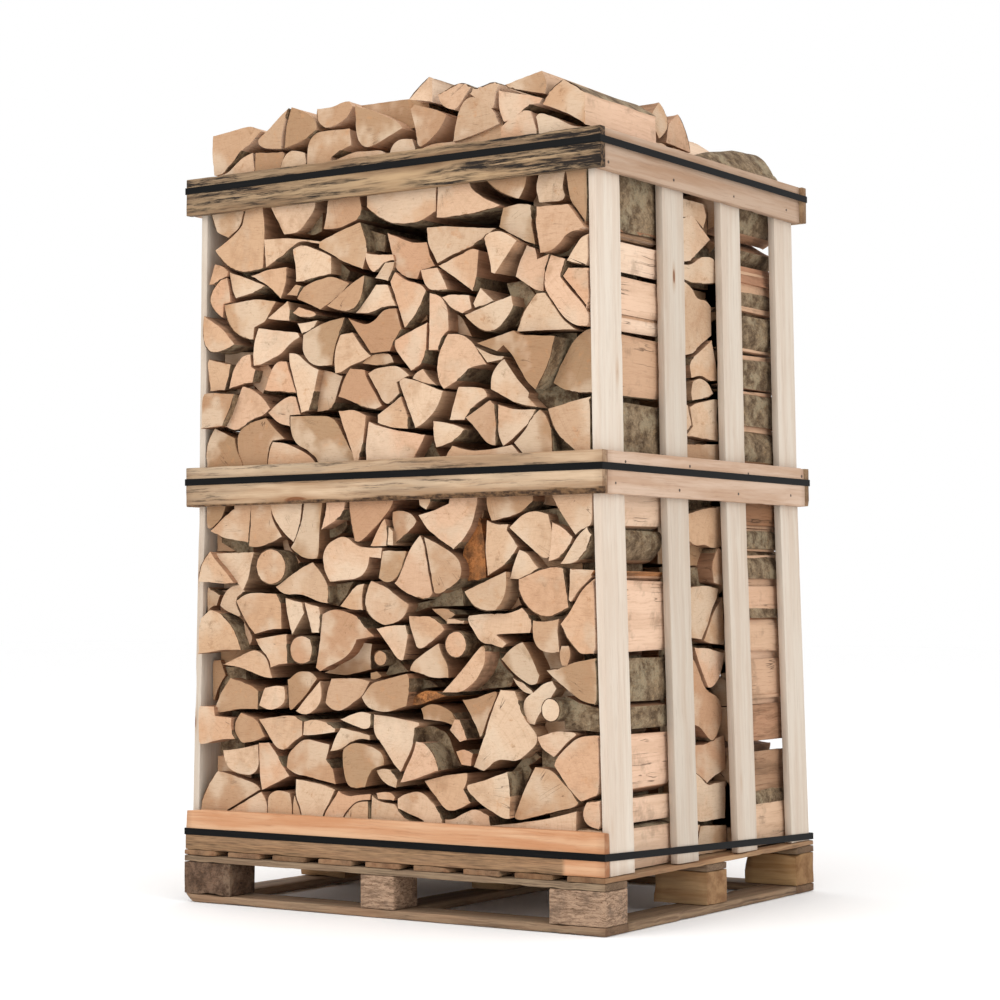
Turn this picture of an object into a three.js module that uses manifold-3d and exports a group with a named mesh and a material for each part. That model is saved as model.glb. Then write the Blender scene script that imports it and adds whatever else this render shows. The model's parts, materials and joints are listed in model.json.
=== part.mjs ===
import * as THREE from 'three';
import { mergeVertices } from 'three/addons/utils/BufferGeometryUtils.js';
import Module from 'manifold-3d';

// A timber pallet with a crate of rails and slats on it, filled and heaped with split firewood.
// Millimetres, +Z up, the origin at the centre of the pallet's underside.
// +X runs along the front, where the log ends show, and +Y runs into the depth.

// Driving dimensions of the pallet
const LENGTH = 1200;
const DEPTH = 1000;
const GAP = 0.3;
const BASE_THICK = 19;
const BLOCK_TOP = 96.5;
const STRINGER_TOP = 112.8;
const DECK_TOP = 125.4;
const BOARD_WIDE = 95;
const CORNER_BLOCK_LONG = 145;
const CENTRE_BLOCK_X = -15;
const DECK_BOARDS = 9;
const DECK_BOARD_WIDE = 98;

// Driving dimensions of the crate: heights above the ground
const CRATE_LENGTH = 1196;
const CRATE_DEPTH = 996;
const RAIL_THICK = 22;
const SIDE_RAIL_THICK = 20;
const BOTTOM_RAIL = [DECK_TOP + GAP, 223];
const MIDDLE_RAIL = [958.5, 1054.8];
const TOP_RAIL = [1675, 1766];
const TOP_RAIL_INSET = 8;
const SLAT_WIDTHS = [104, 99, 97, 95];
const SLAT_THICK = 19;
const SLAT_TOP = 1758;
const SLAT_PLACES = [-421, -131, 152, 428.2];
const SLAT_TURNS_DEG = [0, 0, 0.4, 0.35];
const STRAP_WIDE = 16;
const STRAP_THICK = 1.2;
const STRAP_HEIGHTS = { bottom: 169.4, middle: 1019, top: 1736.5 };
const BOTTOM_STRAP_DROP = 34;
const BACK_FOOT_RAIL_HALF = 573;

// The crate's sides lean out toward the pallet, and more so below the middle rails
const WALL_TOP_HALF = 550.5;
const WALL_TOP_HEIGHT = 1650;
const WALL_LEAN = 0.0113;
const WALL_BEND_HEIGHT = (DECK_TOP + SLAT_TOP) / 2;
const WALL_FOOT_LEAN = 0.0138;

// The stack: three rows of logs behind one another, each a log long
const ROW_FACE = 474;
const ROW_CORE_FACE = 436;
const MIDDLE_HALF_DEPTH = 156.5;
const ROW_GAP = 3;
const STACK_BOTTOM = 126;
const STACK_TOP = 1730;
const SIDE_FACE = 544;
const MIDDLE_CORE_HALF = 512;
const LOG_CLEAR = 2.5;
const CORE_CLEAR = 4;
const ARC_STEPS = 3;
const SMALL_END = 5200;
const BACK_HEAP_GROWTH = 7;
const LOOSE_GAP = 0.5;
const CM = 10;

// Where the ends were sighted from: ends that stand out are moved along that line
const SIGHT_X = 3323;
const SIGHT_Z = 721;
const SIGHT_RANGE = 4480;

// Ends of the front row's logs between the rails, in centimetres on the row's face:
// how far an end stands out, how far the bark bulges between the last corner and the first,
// then the corners in turn as x, z
const FRONT_ENDS = [
  [0, 0.8, -54, 172, -42.5, 172, -44.5, 164, -48.6, 161.5, -52, 163],
  [0, 3, -52.6, 158.8, -48.4, 161, -44.3, 163.8, -42.1, 172, -38.4, 172, -36.9, 162.5, -37.4, 153.2],
  [0, 0, -37.1, 160.1, -29.5, 159.9, -20.3, 158.3, -20.4, 157.7, -26, 158.9, -28.6, 157.7, -34, 154.6,
    -36.7, 153.2],
  [0, 1.2, -21.3, 172, -21.5, 166, -26.5, 160.8, -31, 160.7, -37.6, 172],
  [0, 0, -41.3, 151.5, -36.2, 152.7, -30, 152.9, -30.1, 149.3, -32, 145.4, -36.2, 149],
  [0, 0, -48, 153, -41.6, 150.9, -36.6, 148.8, -40.5, 147.4, -46, 146.4, -46.8, 147.3],
  [0.5, 0, -52.8, 155.4, -50, 154.8, -48.3, 153.2, -48.6, 152.1, -50.5, 151.7, -53, 150.3, -54.6, 150.4],
  [0.5, 3.9, -50.5, 151.4, -48.7, 151.8, -47.9, 149, -47.7, 145.7, -49.9, 145.3, -50.2, 142],
  [0, 2.7, -49.7, 145.2, -40, 146, -33.7, 144.9, -36.4, 141, -36.3, 140.4, -40.2, 138.9, -40.4, 136],
  [0, 0, -29.8, 144.7, -28.8, 142.5, -29.3, 139.9, -32, 140, -36, 140.8],
  [0, 0, -28.2, 141.6, -26.5, 143, -21, 141.3, -20.6, 140.5, -26, 140.4],
  [0.5, 0, -28.3, 157, -25.8, 158.1, -20.3, 156.1, -16.9, 154.4, -16.8, 150.2, -22, 149.5, -25, 149,
    -27.2, 149, -27.3, 152],
  [0, 0, -27.3, 148.5, -30.2, 146.1, -26.9, 145.6, -25.5, 148],
  [0, 0, -26.9, 144.9, -25.2, 147.9, -21, 149, -16.5, 149.7, -11.2, 147.5, -16.5, 143.5, -20, 141.8],
  [2, 6, -58, 143, -50.3, 139.4, -46.3, 135.3],
  [0, 0, -38.8, 138.7, -26.9, 136.9, -26.3, 135.8, -29.7, 134, -31.8, 132, -38.5, 129.6, -40.3, 129.6,
    -40.7, 132, -40, 136],
  [0, 0, -26.8, 139, -20.8, 139.4, -21.7, 137.6, -25.4, 136.5],
  [-0.5, 0, -18.8, 160.9, -18.2, 163.3, -17.2, 172, -9.4, 172, -7.4, 164.5, -8.5, 162.3, -14.5, 160.6],
  [0, 0, -20.2, 158, -15, 160, -8.4, 161.8, -6.1, 154.5, -6.9, 152.6, -7.4, 150.5, -13, 152.6, -17,
    155, -20.2, 156.6],
  [0, 0, -6.4, 154.2, -3, 153.6, 1.4, 153.3, 2, 151.9, -0.6, 151.9, -3.6, 149.4, -4.4, 148.9, -5.3,
    150.6, -6.6, 152.6],
  [0, 0, -3.6, 148, -0.7, 151.6, 1.9, 151.5, 1.6, 149.5, 0.2, 147.1],
  [0, 2.4, -6.6, 165.2, -6.6, 172, 14.2, 172, 13.7, 162.2, 9.6, 160.5],
  [-1, 0, -0.2, 158.4, 7.5, 155.4, 11, 155.4, 11.9, 152, 13.4, 149.6, 9.3, 148.8, 8.6, 146.8, 5.6,
    147.2, 2.2, 149.7],
  [0, 1, 4.8, 135.8, 0.7, 146.9, 2.1, 149.1, 5.5, 146.7, 9.6, 145.9, 11.1, 144.1],
  [0, 0, 9.5, 148.9, 14.2, 149.2, 16.2, 146, 17, 143.9, 11.7, 144.1, 9.9, 146.3],
  [1.5, 5.3, -7.2, 149.2, -11, 147.4, -17.8, 142.6],
  [0, 0, -3.4, 146.6, 0, 146.3, 2.4, 141.2, -1, 141.2, -5.5, 139.9, -9.3, 140.2, -6, 143.5],
  [0, 0, -11.8, 139.3, -8.5, 137.9, -5.5, 137.3, -3.2, 138.7, -1, 140.7, 2.6, 140.6, 4.1, 135.7, 1.2,
    132.2, 0.7, 130.7, -4.9, 130.5],
  [0, 0, 11.7, 143.5, 15, 142.7, 17.2, 139.5, 17.5, 134.4, 15.6, 133.4, 14.4, 130.1, 11.7, 130.1],
  [0, 0, 14.5, 172, 22.5, 172, 23.2, 167, 27, 164, 31.8, 161.9, 30.5, 161.4, 16, 160.4, 14.1, 160.6],
  [0, 1.8, 24.9, 172, 38.8, 172, 38.8, 166.3, 36.7, 162.8],
  [0, 0, 32.3, 161.2, 37.5, 161.9, 40, 161.1, 40.1, 158, 41.2, 152.1, 38.5, 152.9, 31.2, 156.9],
  [-0.5, 0, 11.3, 158.6, 16, 158.6, 30.3, 156.8, 26, 154.6, 24, 153.2, 17, 151.3, 14, 150, 11.4, 155],
  [0, 0, 14.2, 149.5, 24.4, 153, 25.9, 152.2, 25.2, 146, 24.1, 142.9, 19, 146.4],
  [2.3, 1, 28.8, 155.9, 31.5, 156.4, 36.2, 153.5, 30, 146.4, 29, 146.7, 28.4, 150.5, 27.5, 153.5],
  [-1, 0, 38.8, 152.2, 41, 151.4, 41.6, 148.9, 44.8, 149.8, 43.4, 146, 43.2, 141.5, 41.5, 141.4, 35.8,
    145.2, 36.6, 148],
  [-1, 0, 41, 164.5, 43, 172, 50, 172, 48.2, 163.8, 49.3, 161.7, 48.5, 161.1, 42, 161.4],
  [0, 0, 48.4, 172, 58, 172, 58, 155.4, 50.1, 161.3],
  [1.5, 0.5, 41.5, 160.6, 49.7, 160.5, 58, 155, 53.4, 154.3, 50, 154.3, 46, 150.4, 42.4, 150, 41.8, 153],
  [0, 0, 53.8, 153.6, 58, 154, 58, 146.3, 49.4, 147.8, 50.6, 149.7],
  [0, 0, 45.1, 149.5, 49, 148.3, 47.6, 144.4, 58, 136.2, 58, 132.9, 52, 132.9, 48.7, 134.9, 43.6,
    141.4, 43.1, 144, 44, 147],
  [0, 0, 48.1, 144.5, 49.5, 146.3, 58, 145.8, 58, 136.8],
  [0, 0, 26, 143.6, 29.8, 140.3, 24.7, 139, 24.2, 140],
  [1.5, 5, 34.9, 139, 34.3, 141.3, 30, 140.2, 21.9, 137.6],
  [0, 0.8, 15.4, 142.2, 17.2, 142.8, 23.2, 142.1, 23.8, 139, 21.2, 138],
  [0.5, 1, 41.3, 141.2, 43.4, 141.2, 48.3, 134.6, 51.4, 132.4, 36.2, 132.8],
  [0, 0, -58, 132.2, -51.4, 131.3, -47.5, 130.5, -49.6, 124.2, -54.3, 124.2, -58, 128.8],
  [2, 0, -58, 123.6, -54, 123.9, -46.7, 123.2, -50.4, 115.5, -54.5, 115.2, -58, 115],
  [0, 0, -45, 131.6, -43.2, 132.8, -41.5, 132.6, -41.1, 129.5, -39.7, 128.7, -40.6, 125.6, -44, 125.3,
    -48, 124.4, -47.1, 129],
  [0, 0, -32.5, 130.7, -30.1, 130.2, -27.3, 122.5, -33, 123.3, -35, 123, -37.3, 123.6, -34.7, 129],
  [0, 0, -29.6, 132.1, -27.3, 132.1, -23.1, 128.7, -20.7, 127.7, -21.9, 122.5, -23.4, 118, -25.6,
    117.5, -27.1, 122.2, -29.7, 130.4],
  [0, 0, -25.1, 136.1, -22.4, 137.5, -18, 139, -12.8, 139.6, -14.6, 135.5, -16.1, 131, -16.4, 128.5,
    -20.5, 128.2, -23.5, 129.4, -25.4, 132],
  [0, 0, -13.8, 135.5, -10.4, 135.9, -7.1, 131.7, -5.1, 130, -8, 128.6, -11.5, 127.9, -13.5, 126.3,
    -15.4, 126.3, -15.9, 129, -15.2, 133],
  [-1, 0, -5, 130.2, 0.5, 130.4, 1.4, 129.5, 1.8, 128, -3, 127.5, -7.5, 128.3],
  [0, 0, 1.3, 132.8, 4.5, 134.4, 11, 136.8, 10.9, 130.5, 9.7, 127, 6.8, 125.7, 4.1, 128.5, 1.7, 131.7],
  [0, 0, 17, 133.7, 20.5, 133.6, 23.6, 131.6, 27.5, 126.1, 23, 125.7, 19.5, 122.7, 16, 121, 14.6,
    122.2, 13.9, 127, 15.2, 131],
  [0, 0, 24.8, 130.2, 29.8, 127.9, 32.6, 127.6, 32.1, 126.8, 28, 126.3],
  [2.3, 1, 40.8, 119.6, 38.8, 121, 36.5, 124.6, 34.5, 128, 32.2, 130.1, 30.5, 128.8, 24.9, 131, 35.1,
    133.3, 36, 132.3, 46.2, 131.3],
  [-2, 0, 50.2, 129.5, 53.5, 132.3, 58, 132.5, 58, 118.1, 48.5, 119.1, 45.7, 120.7, 47.2, 124.5, 49.6,
    128],
  [0, 0, 30.6, 125.9, 32.6, 127, 36.4, 122, 39.4, 119, 39.1, 117.9, 41.5, 115.7, 35, 117.1, 30, 119.7,
    28.8, 120.3, 28.9, 123.5],
  [0, 0, 20, 121.4, 26.5, 121, 27.8, 120.2, 28.1, 118.8, 23.8, 116.6, 21.5, 113.7, 17.4, 113.8, 18.3,
    117],
  [0, 0, 28.7, 117.9, 29.9, 116.9, 29.9, 107.5, 27.7, 107.8, 24.1, 112.1, 21.9, 114.2],
  [0, 0, 30.7, 116.8, 35, 115.5, 41.1, 115.2, 39, 112.1, 33.4, 108, 31.9, 107.3, 30.5, 109.6],
  [0, 0, 42, 115.2, 43.5, 114.4, 45.1, 110.8, 45.2, 101, 42, 101, 35, 107.9, 38.5, 111.1, 39.6, 113.4],
  [0, 1.5, 43.9, 115.2, 50, 116.6, 58, 117.4, 58, 101, 50.6, 106.2],
  [0, 0, 12.6, 113.9, 15.5, 113.6, 20, 112.5, 21.8, 111.6, 18.5, 108.8, 15.8, 108, 13.6, 107.7, 12.7,
    110.5],
  [0, 0, 15, 101, 16, 105.6, 18, 108, 23.5, 106.6, 30, 106.9, 34.6, 107.6, 41.6, 101],
  [0, 0, -14.7, 117.5, -9.7, 117.7, -6.3, 116, -6.7, 113, -7.2, 109.5, -8.6, 106.5, -9.9, 101, -10.2,
    106.5, -12.4, 111.5],
  [-2.5, 0, -19.7, 127.5, -16.5, 127, -13.2, 125.7, -15, 121, -15.4, 119.2, -17.5, 117.6, -20.8, 117.5,
    -20.4, 123],
  [0, 0, -11, 127.4, -6.7, 126.8, -6.5, 125.4, -1.7, 118.1, -3.6, 117.2, -9.5, 119.1, -14.5, 120.8,
    -12.7, 125.4],
  [0, 0, -5.9, 125.8, -4, 127, 2.9, 127.4, 6.3, 124.8, 2.6, 123.3, 3.4, 120.7, 0, 118.2, -1.2, 118.4],
  [0, 0.8, 3.7, 124.5, 6.8, 123.9, 12.5, 121.9, 15.8, 120.7, 14.9, 118, 12.5, 115.1, 9, 112.8, 7.6,
    112.4, 6.4, 115.5, 4.2, 120.2, 3.2, 123.3],
  [0, 0, 7, 123.9, 7.5, 125.2, 10, 126.1, 12.2, 123.5, 14, 122.1, 10, 122.8],
  [0, 0, 3.7, 120.1, 5.9, 115, 5.7, 112.4, 1.5, 112.6, -2.9, 114.1, -3.1, 116, 0.4, 117.9],
  [0, 0, -5.8, 114.6, -3.5, 113.7, 1.5, 112.4, 10.5, 110.9, 9.5, 108.4, 7.3, 105.6, 7, 101, -6, 101,
    -6.7, 109],
  [0, 0, -29, 116.9, -20, 116.7, -16.5, 116.3, -15.3, 115, -10.4, 106.4, -10.4, 101, -19, 101, -21.3,
    106.4, -24.5, 108.8, -27.7, 110.2, -29.1, 113.5],
  [0, 0, -29.6, 122, -27.5, 121.6, -26.1, 117.2, -29.3, 117.1, -29.3, 114.5, -32.5, 115.1, -35.8, 118,
    -34, 119.6],
  [0, 0, -44, 124.9, -41.7, 124.6, -37.5, 121.9, -35.1, 119.1, -36.6, 117.6, -41, 116.6, -45.8, 114,
    -49.6, 115.4],
  [0, 0, -45.4, 113.9, -41.5, 116.1, -36.5, 116.9, -34.6, 115, -30.6, 111.6, -34.4, 111.3, -35.9, 109,
    -36.8, 101, -43, 101, -45.4, 108, -45.9, 112],
  [0, 1.3, -52.5, 115, -46.3, 112.5, -45.8, 109.3, -43.9, 106.5, -43.5, 101, -58, 101, -58, 106.5],
  [0, 0, -34.4, 111, -30.3, 110.6, -24.8, 108.3, -21.7, 106, -21.2, 101, -36.6, 101, -35.5, 109],
  [0, 0, -58, 100, -48, 100, -49.9, 93.5, -53.5, 90.5, -58, 90.2, -58, 91],
  [0, 0, -49.7, 93.3, -46.5, 95.3, -46, 100, -41.2, 100, -42.1, 86.9, -50, 88.1, -54, 89.9],
  [0, 0, -41, 100, -35.5, 100, -34.6, 92, -31.9, 88.2, -35, 86.7, -39.2, 85.6, -42.1, 85.9, -41.5, 91],
  [0, 0, -35.2, 95.2, -34.9, 100, -25, 100, -26.1, 91, -28.1, 86.8, -30.5, 88.5, -33.4, 91.5],
  [0, 0, -24.9, 95, -24.5, 100, -18.7, 100, -20.1, 90, -20.3, 84, -20.8, 82.7, -24, 82.6, -27, 83.9,
    -28.9, 85.4, -28, 86.5, -25.9, 91],
  [0, 0, -18.3, 94.5, -18, 100, -12.3, 100, -12.6, 94, -15, 91.7, -19.6, 89.5],
  [0, 0.8, -11.9, 100, 1.8, 100, 1.6, 95, -2, 91.1, -8.3, 86.1, -9.5, 86.1],
  [0.5, 0, -13.2, 88.2, -11, 87.2, -9.2, 85.5, -5.5, 85.1, -2.2, 85.1, -2.5, 82.6, -5.8, 82.9, -6.4,
    79.9, -9, 77.8, -17.3, 77.2, -19, 80, -19.3, 84, -17, 86.9],
  [0, 0, -1, 91.8, -0.2, 90, -0.5, 85.4, -2, 85.3, -5.1, 85.4, -2.7, 90],
  [-1, 0, 1.3, 93.3, 3, 93.8, 6.8, 93.1, 8.3, 91, 7.3, 89.4, 5, 88.1, 1.9, 86, 1.8, 89, 0.9, 91],
  [0, 0, 0, 89.9, 1.4, 88.9, 1.5, 85.5, -0.2, 85.5],
  [0, 0, 8.1, 100, 12.5, 100, 12.2, 95.2, 11, 93.5, 9, 94.5],
  [0, 0, -1.7, 84.2, 0, 84.6, 5.2, 84.2, 4.8, 82.5, 2.8, 78.3, 1.3, 77, -1, 76.7, -2.9, 77.9],
  [0, 0, 6.9, 85.8, 8.8, 87.8, 9.8, 86.8, 12.8, 73.7, 12, 73, 8, 73.4, 4.6, 74.6, 1.7, 76.7, 3.1, 78.3,
    5.6, 84.1],
  [0, 0, 10.1, 87.3, 12.5, 86.5, 18.4, 83.4, 20, 82, 20.9, 80, 20.4, 77.4, 16, 74.9, 14, 73.8, 13.2,
    73.8],
  [0, 0, 8.5, 92.3, 13.5, 93.5, 17, 94.9, 17.6, 100, 24.8, 100, 24.8, 94.5, 23.6, 90, 22, 87.4, 20.5,
    85.9, 18.5, 84.3, 11.6, 88.5],
  [-3, 0, 23, 91, 26, 91.5, 27.1, 85, 27.2, 77.8, 22, 77, 20.6, 79, 20.6, 83.5, 22.2, 87],
  [0, 0, 27.5, 94, 27.5, 100, 40, 100, 39.9, 94.7, 37, 92.4, 34, 91.2, 29, 90.5],
  [0, 0, 27.3, 90.8, 29.5, 89.9, 33.4, 89.8, 33, 88.5, 36.1, 84.8, 35, 83.1, 32.5, 80.6, 30, 79.2,
    27.9, 78.1, 26.9, 84],
  [0, 0, 33.8, 88.9, 37, 91.8, 40.6, 92.8, 44, 91.8, 45, 88.5, 43.8, 81.6, 42.7, 81.5, 38.5, 84.9],
  [0, 0, 45.1, 89.9, 47.5, 89.1, 50.6, 86.6, 49.9, 84.9, 47, 82, 44, 81.2, 44.6, 85],
  [0, 0, 36.4, 84, 38.8, 83.4, 40, 81.2, 41.5, 79.8, 36.6, 77.2, 33.9, 77.4, 34.7, 80.3],
  [0, 0, 44.9, 95.4, 44.3, 100, 58, 100, 58, 89, 53.5, 88.4, 51.3, 87, 49.9, 88.6, 46.6, 92.9],
  [0.5, 0.6, 51.3, 86.4, 54.2, 88.8, 58, 87, 54.2, 83.6, 52, 81.2, 50, 80.5, 47.2, 80.6, 50.1, 84.5],
  [0, 0, 36.1, 77.4, 42.3, 79.8, 46, 80.3, 47.9, 79.8, 48.9, 74.5, 49.4, 71.1, 47, 69.7, 43.6, 68.7,
    40.5, 69.5, 37.6, 71.9, 35.9, 75],
  [0, 0, 49.6, 79.6, 58, 79.3, 58, 78.2, 52.4, 75.1, 50, 72.2, 49.4, 72.6],
  [0, 0.8, 47.3, 67.4, 49.8, 70.4, 52.8, 75.1, 58, 77.4, 58, 60.8, 52.5, 60.8],
  [2, 2, 21.4, 74.7, 24.5, 76.1, 29, 77.8, 32.6, 79.2, 33.1, 76, 32.1, 72.6, 30.2, 70.5],
  [0, 0, 21.8, 69.2, 26, 69.7, 33.5, 69.8, 36.6, 71.1, 38.4, 69.4, 39.6, 67.2, 38.9, 65.4, 32, 65.1,
    30, 64.8, 32.8, 63, 31.8, 62, 25.6, 63.2, 22.1, 68.3],
  [0, 0, 39.9, 68.2, 43, 67.9, 46.9, 68.6, 46.4, 66, 46.9, 61.2, 44, 60.8, 41, 61.7, 39.6, 64.5],
  [0, 0, 47.4, 62.6, 49.3, 62.7, 50.2, 60.5, 49, 58.2, 47.6, 58.1, 46.6, 60.5],
  [0, 0, 22.8, 62.7, 21.7, 60, 19, 58.9, 16.2, 60, 15.1, 62.7, 16.2, 65.5, 19, 66.5, 21.7, 65.5],
  [-1.5, 0, 12.3, 70.8, 17.2, 71, 19, 69.5, 16.5, 67.8, 14.6, 69],
  [0, 0, 16.5, 68.6, 21.5, 68.1, 21.3, 67.4, 16.4, 67.3],
  [0, 4, -4.9, 77.4, -3, 76.8, 0.2, 75.7, 3.4, 73.2, 5.8, 71.9, 5.4, 69.9, 2.8, 67.7, -1, 67],
  [0, 0, -9.4, 76.6, -6.9, 76.8, -7.7, 73.5, -7.3, 70.5, -11, 70.5, -14.3, 71.4],
  [0, 0, -33.5, 76.1, -30, 78.3, -25.7, 80.8, -22.5, 82, -20, 79.6, -17.9, 76.3, -18.1, 72.2, -20,
    72.2, -24, 73.7, -27, 74.4, -31, 74.2],
  [1, 0, -29.7, 81, -31.2, 84.6, -35, 86.1, -38.8, 84.6, -40.4, 81, -38.8, 77.4, -35, 76, -31.2, 77.4],
  [0, 0, -52.2, 84.5, -40.5, 84.7, -41.5, 81, -41.7, 79, -42.9, 76.4, -43.5, 75.4, -46.1, 77.6, -50,
    81.6, -52.4, 83.4],
  [2, 1.2, -54, 85, -52.8, 83.3, -50.5, 81.3, -46.6, 77.3, -49, 76.9, -58, 77.6],
  [-1, 0, -58, 77, -54.3, 76, -50.8, 74.3, -51.9, 71.7, -54.2, 71.1, -58, 67.8],
  [0, 0, -47.3, 76.7, -44.7, 76.9, -43.1, 75.2, -46.1, 73.4, -46.1, 72, -44.1, 68.8, -44.9, 68.8, -50,
    70.8, -51, 71.7, -49.6, 74.8],
  [0, 0, -45.8, 72.9, -43, 74.6, -39.5, 74.9, -33.5, 74.6, -32, 72.5, -31.9, 66.1, -36, 65.8, -40,
    64.8, -41.9, 66.5, -43.6, 69],
  [2, 1.3, -44.4, 60.9, -50, 60.9, -58, 59.8, -58, 68.1, -54.4, 70.8, -51.5, 70.1],
  [-2, 0, -43.4, 67.9, -40.5, 64.4, -40.5, 63.1, -42.4, 61.2, -43, 64],
  [0, 0, -39.8, 63.7, -35, 64.4, -30, 65, -30.2, 62.5, -30, 57.9, -33.5, 57.4, -35.2, 56.8, -36, 59.4,
    -38, 60.8],
  [0, 0, -22, 61.2, -22.9, 63.9, -25.7, 64.9, -28.4, 63.9, -29.4, 61.2, -28.4, 58.5, -25.7, 57.4,
    -22.9, 58.5],
  [0, 0, -30.5, 73.5, -25.4, 72.4, -24.7, 69.9, -28.6, 64.6, -30.1, 69.3],
  [0, 0, -24.9, 72.4, -20.4, 71.4, -20, 69.5, -20.3, 65.2, -22.5, 65.1, -24.1, 69.7],
  [0, 0, -19.7, 69.6, -17.5, 70.9, -14, 70.7, -9.5, 69.2, -6.9, 66.3, -4.4, 64.5, -9.5, 63.6, -10.4,
    61.5, -12.4, 59.5, -20, 56.1, -21.3, 56.9, -20.2, 64],
  [0, 0, -3.6, 66.2, 0, 67, 4.9, 67.2, 5.8, 65, 5.2, 62, 4.2, 58.3, 3.1, 58.6, 0.4, 61.8, -2.4, 65],
  [0, 0, 0.4, 59.4, -0.4, 61.3, -2.3, 62.1, -4.2, 61.3, -5, 59.4, -4.2, 57.5, -2.3, 56.7, -0.4, 57.5],
  [0, 0, 5.8, 69.2, 12, 69.2, 15, 67.5, 16, 66.1, 14.7, 64.9, 9.5, 61.5, 8.1, 61.4, 5.8, 67.5],
  [0, 0, 14.3, 63, 14.8, 61, 16.8, 58, 16.8, 55.1, 12.8, 54.9, 6.1, 56.6, 6.4, 58.3, 9.5, 60.4],
  [-3.5, 0, -58, 58.6, -50.6, 58.6, -49.1, 54.8, -52, 51.2, -52.9, 48.5, -58, 48.5],
  [0, 0, -40, 61.4, -38.1, 60.4, -36.4, 59.2, -35.6, 56, -35, 54.4, -36.5, 54.2, -45, 56.8, -50.1,
    57.4, -46, 59.1, -42.5, 60.5],
  [0, 0, -47.7, 54.3, -45, 53.8, -40, 52.1, -38.9, 51.2, -39.1, 46.8, -44.5, 46.8, -50, 45.8, -52.9,
    45.7, -51.9, 48.3, -50, 51.7],
  [0, 0, -37, 52.1, -32.5, 52.8, -31, 52.4, -30.3, 50, -31.1, 47.9, -35, 46.4, -38.6, 47.7, -37.9, 50],
  [-1, 0, -29.9, 54.1, -26.5, 56.3, -22, 56, -20.8, 54.5, -24.7, 50, -29.2, 46.3, -29.4, 46.5],
  [-0.5, 0, -20.2, 54, -24.3, 50, -27.3, 46.6, -24.3, 45.5, -20.6, 47.6, -19.4, 50.5],
  [1.5, 0, -58, 47.3, -52.9, 47.3, -52.6, 45, -47.5, 44.6, -47.7, 41.5, -46.5, 39.5, -51, 39.2, -58,
    37.5, -58, 37.5],
  [0.5, 2.6, -44.5, 45.9, -39.4, 44.6, -37.5, 41.6, -36.7, 40.4, -40, 39, -44, 38.6],
  [0, 0, -49.9, 36.7, -44.5, 37.4, -39.1, 38.5, -39, 33, -40.5, 31, -44, 30.8, -48.5, 32.2, -49.6, 34.5],
  [0, 0.8, -51.9, 31.7, -49.5, 31.4, -39.2, 28.8, -38.6, 27.7, -48.7, 22.3, -50, 12.6, -58, 12.6, -58,
    23],
  [0, 0, -38.7, 38.8, -35.7, 39.1, -32.9, 35.8, -31.4, 33.3, -29.5, 31.2, -34.3, 29, -37.7, 27.5,
    -38.4, 30],
  [0, 0, -38.7, 44.5, -30, 45.7, -27.3, 45.6, -25.4, 44.3, -25.4, 40.9, -29, 38.7, -30.4, 37.2, -32.5,
    37.2, -34.3, 38.7, -35.9, 41],
  [0, 0, -30.2, 36.3, -27.5, 38.6, -24.8, 40.3, -17.2, 39.1, -17.6, 36.5, -18.2, 35.5, -16.2, 33.5,
    -15.4, 29.8, -20, 30.5, -24, 31.2, -28, 31.7, -30.4, 33.2],
  [0, 0, -25, 44.2, -22, 45, -18.3, 44.3, -15.7, 42.8, -15.7, 42, -22, 41, -25.2, 41],
  [0, 0, -36.1, 26.3, -34.8, 27.4, -32.3, 28, -29.2, 27.3, -28.5, 25.3, -28.5, 12.6, -35.7, 12.6,
    -36.3, 25],
  [0, 0, -27.4, 30.6, -24, 30.3, -20, 29.8, -15.8, 28.6, -17.6, 25, -19.5, 22.7, -19.8, 12.6, -25.1,
    12.6, -25.6, 22.5, -27.6, 27],
  [0, 0, -17, 54.5, -9, 54.8, -5.3, 54, -7.4, 50.4, -9.5, 49.4, -13.5, 46.9, -16.5, 46.9, -18.8, 48.6,
    -18.3, 51.5],
  [1.5, 0, -4.8, 53.8, -1, 54.6, 5.3, 56, 6.1, 55, 5.8, 51.8, 5, 48.4, -0.5, 46.8, -4.5, 47.2, -7,
    48.5, -7.8, 50.3],
  [-1, 0, -1.8, 55.3, -3.3, 56.5, -5.2, 56, -5.2, 54.4, -3.2, 54.2],
  [-1.5, 0, 6.8, 50.5, 10.3, 52.4, 13.7, 52, 16.2, 51, 12.5, 49.9, 8, 48.5, 6.2, 48.8],
  [-1.5, 0, 9.2, 48, 12, 49.4, 16, 48.5, 18, 47.3, 19.3, 45, 18.5, 44.2, 15, 45.2, 10, 45.5],
  [0, 0, -14.3, 45, -8, 47.2, -5, 46.5, -5.2, 43, -6.3, 42.6, -10, 43.5],
  [0, 0, -4.6, 46.4, -1, 46.2, 8.8, 44.8, 8.8, 44.1, 7.5, 43.5, 7.1, 40, 6, 37.2, 3.4, 33.3, 1.6, 34.7,
    -1.4, 38.6, -4.6, 41.9],
  [0, 0, -14.2, 43.1, -10, 42.4, -5.7, 41.5, -5.7, 40.4, -9, 40.7, -12, 39.1, -13.7, 38, -17, 37.4,
    -15.9, 40.5],
  [1, 0, -11.3, 39.6, -8.3, 39.7, -5, 39, -2.1, 37.9, -1.1, 36, -1.2, 34.7, -4.4, 34, -5.7, 32.3, -6.7,
    29.4, -11, 28.8, -12.5, 30.1, -13.6, 34.7, -13.5, 38],
  [0, 0, -3.6, 33.5, -0.8, 34.2, 0.8, 33.9, 2.6, 31.5, 2.1, 29.6, -0.4, 30, -2.4, 31.4],
  [2.3, 1.2, 14, 34, 10, 32.6, 6.6, 31.5, 3, 30.8, 4, 33, 6.9, 37.8, 7.8, 40.5, 9.7, 40.4],
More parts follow.
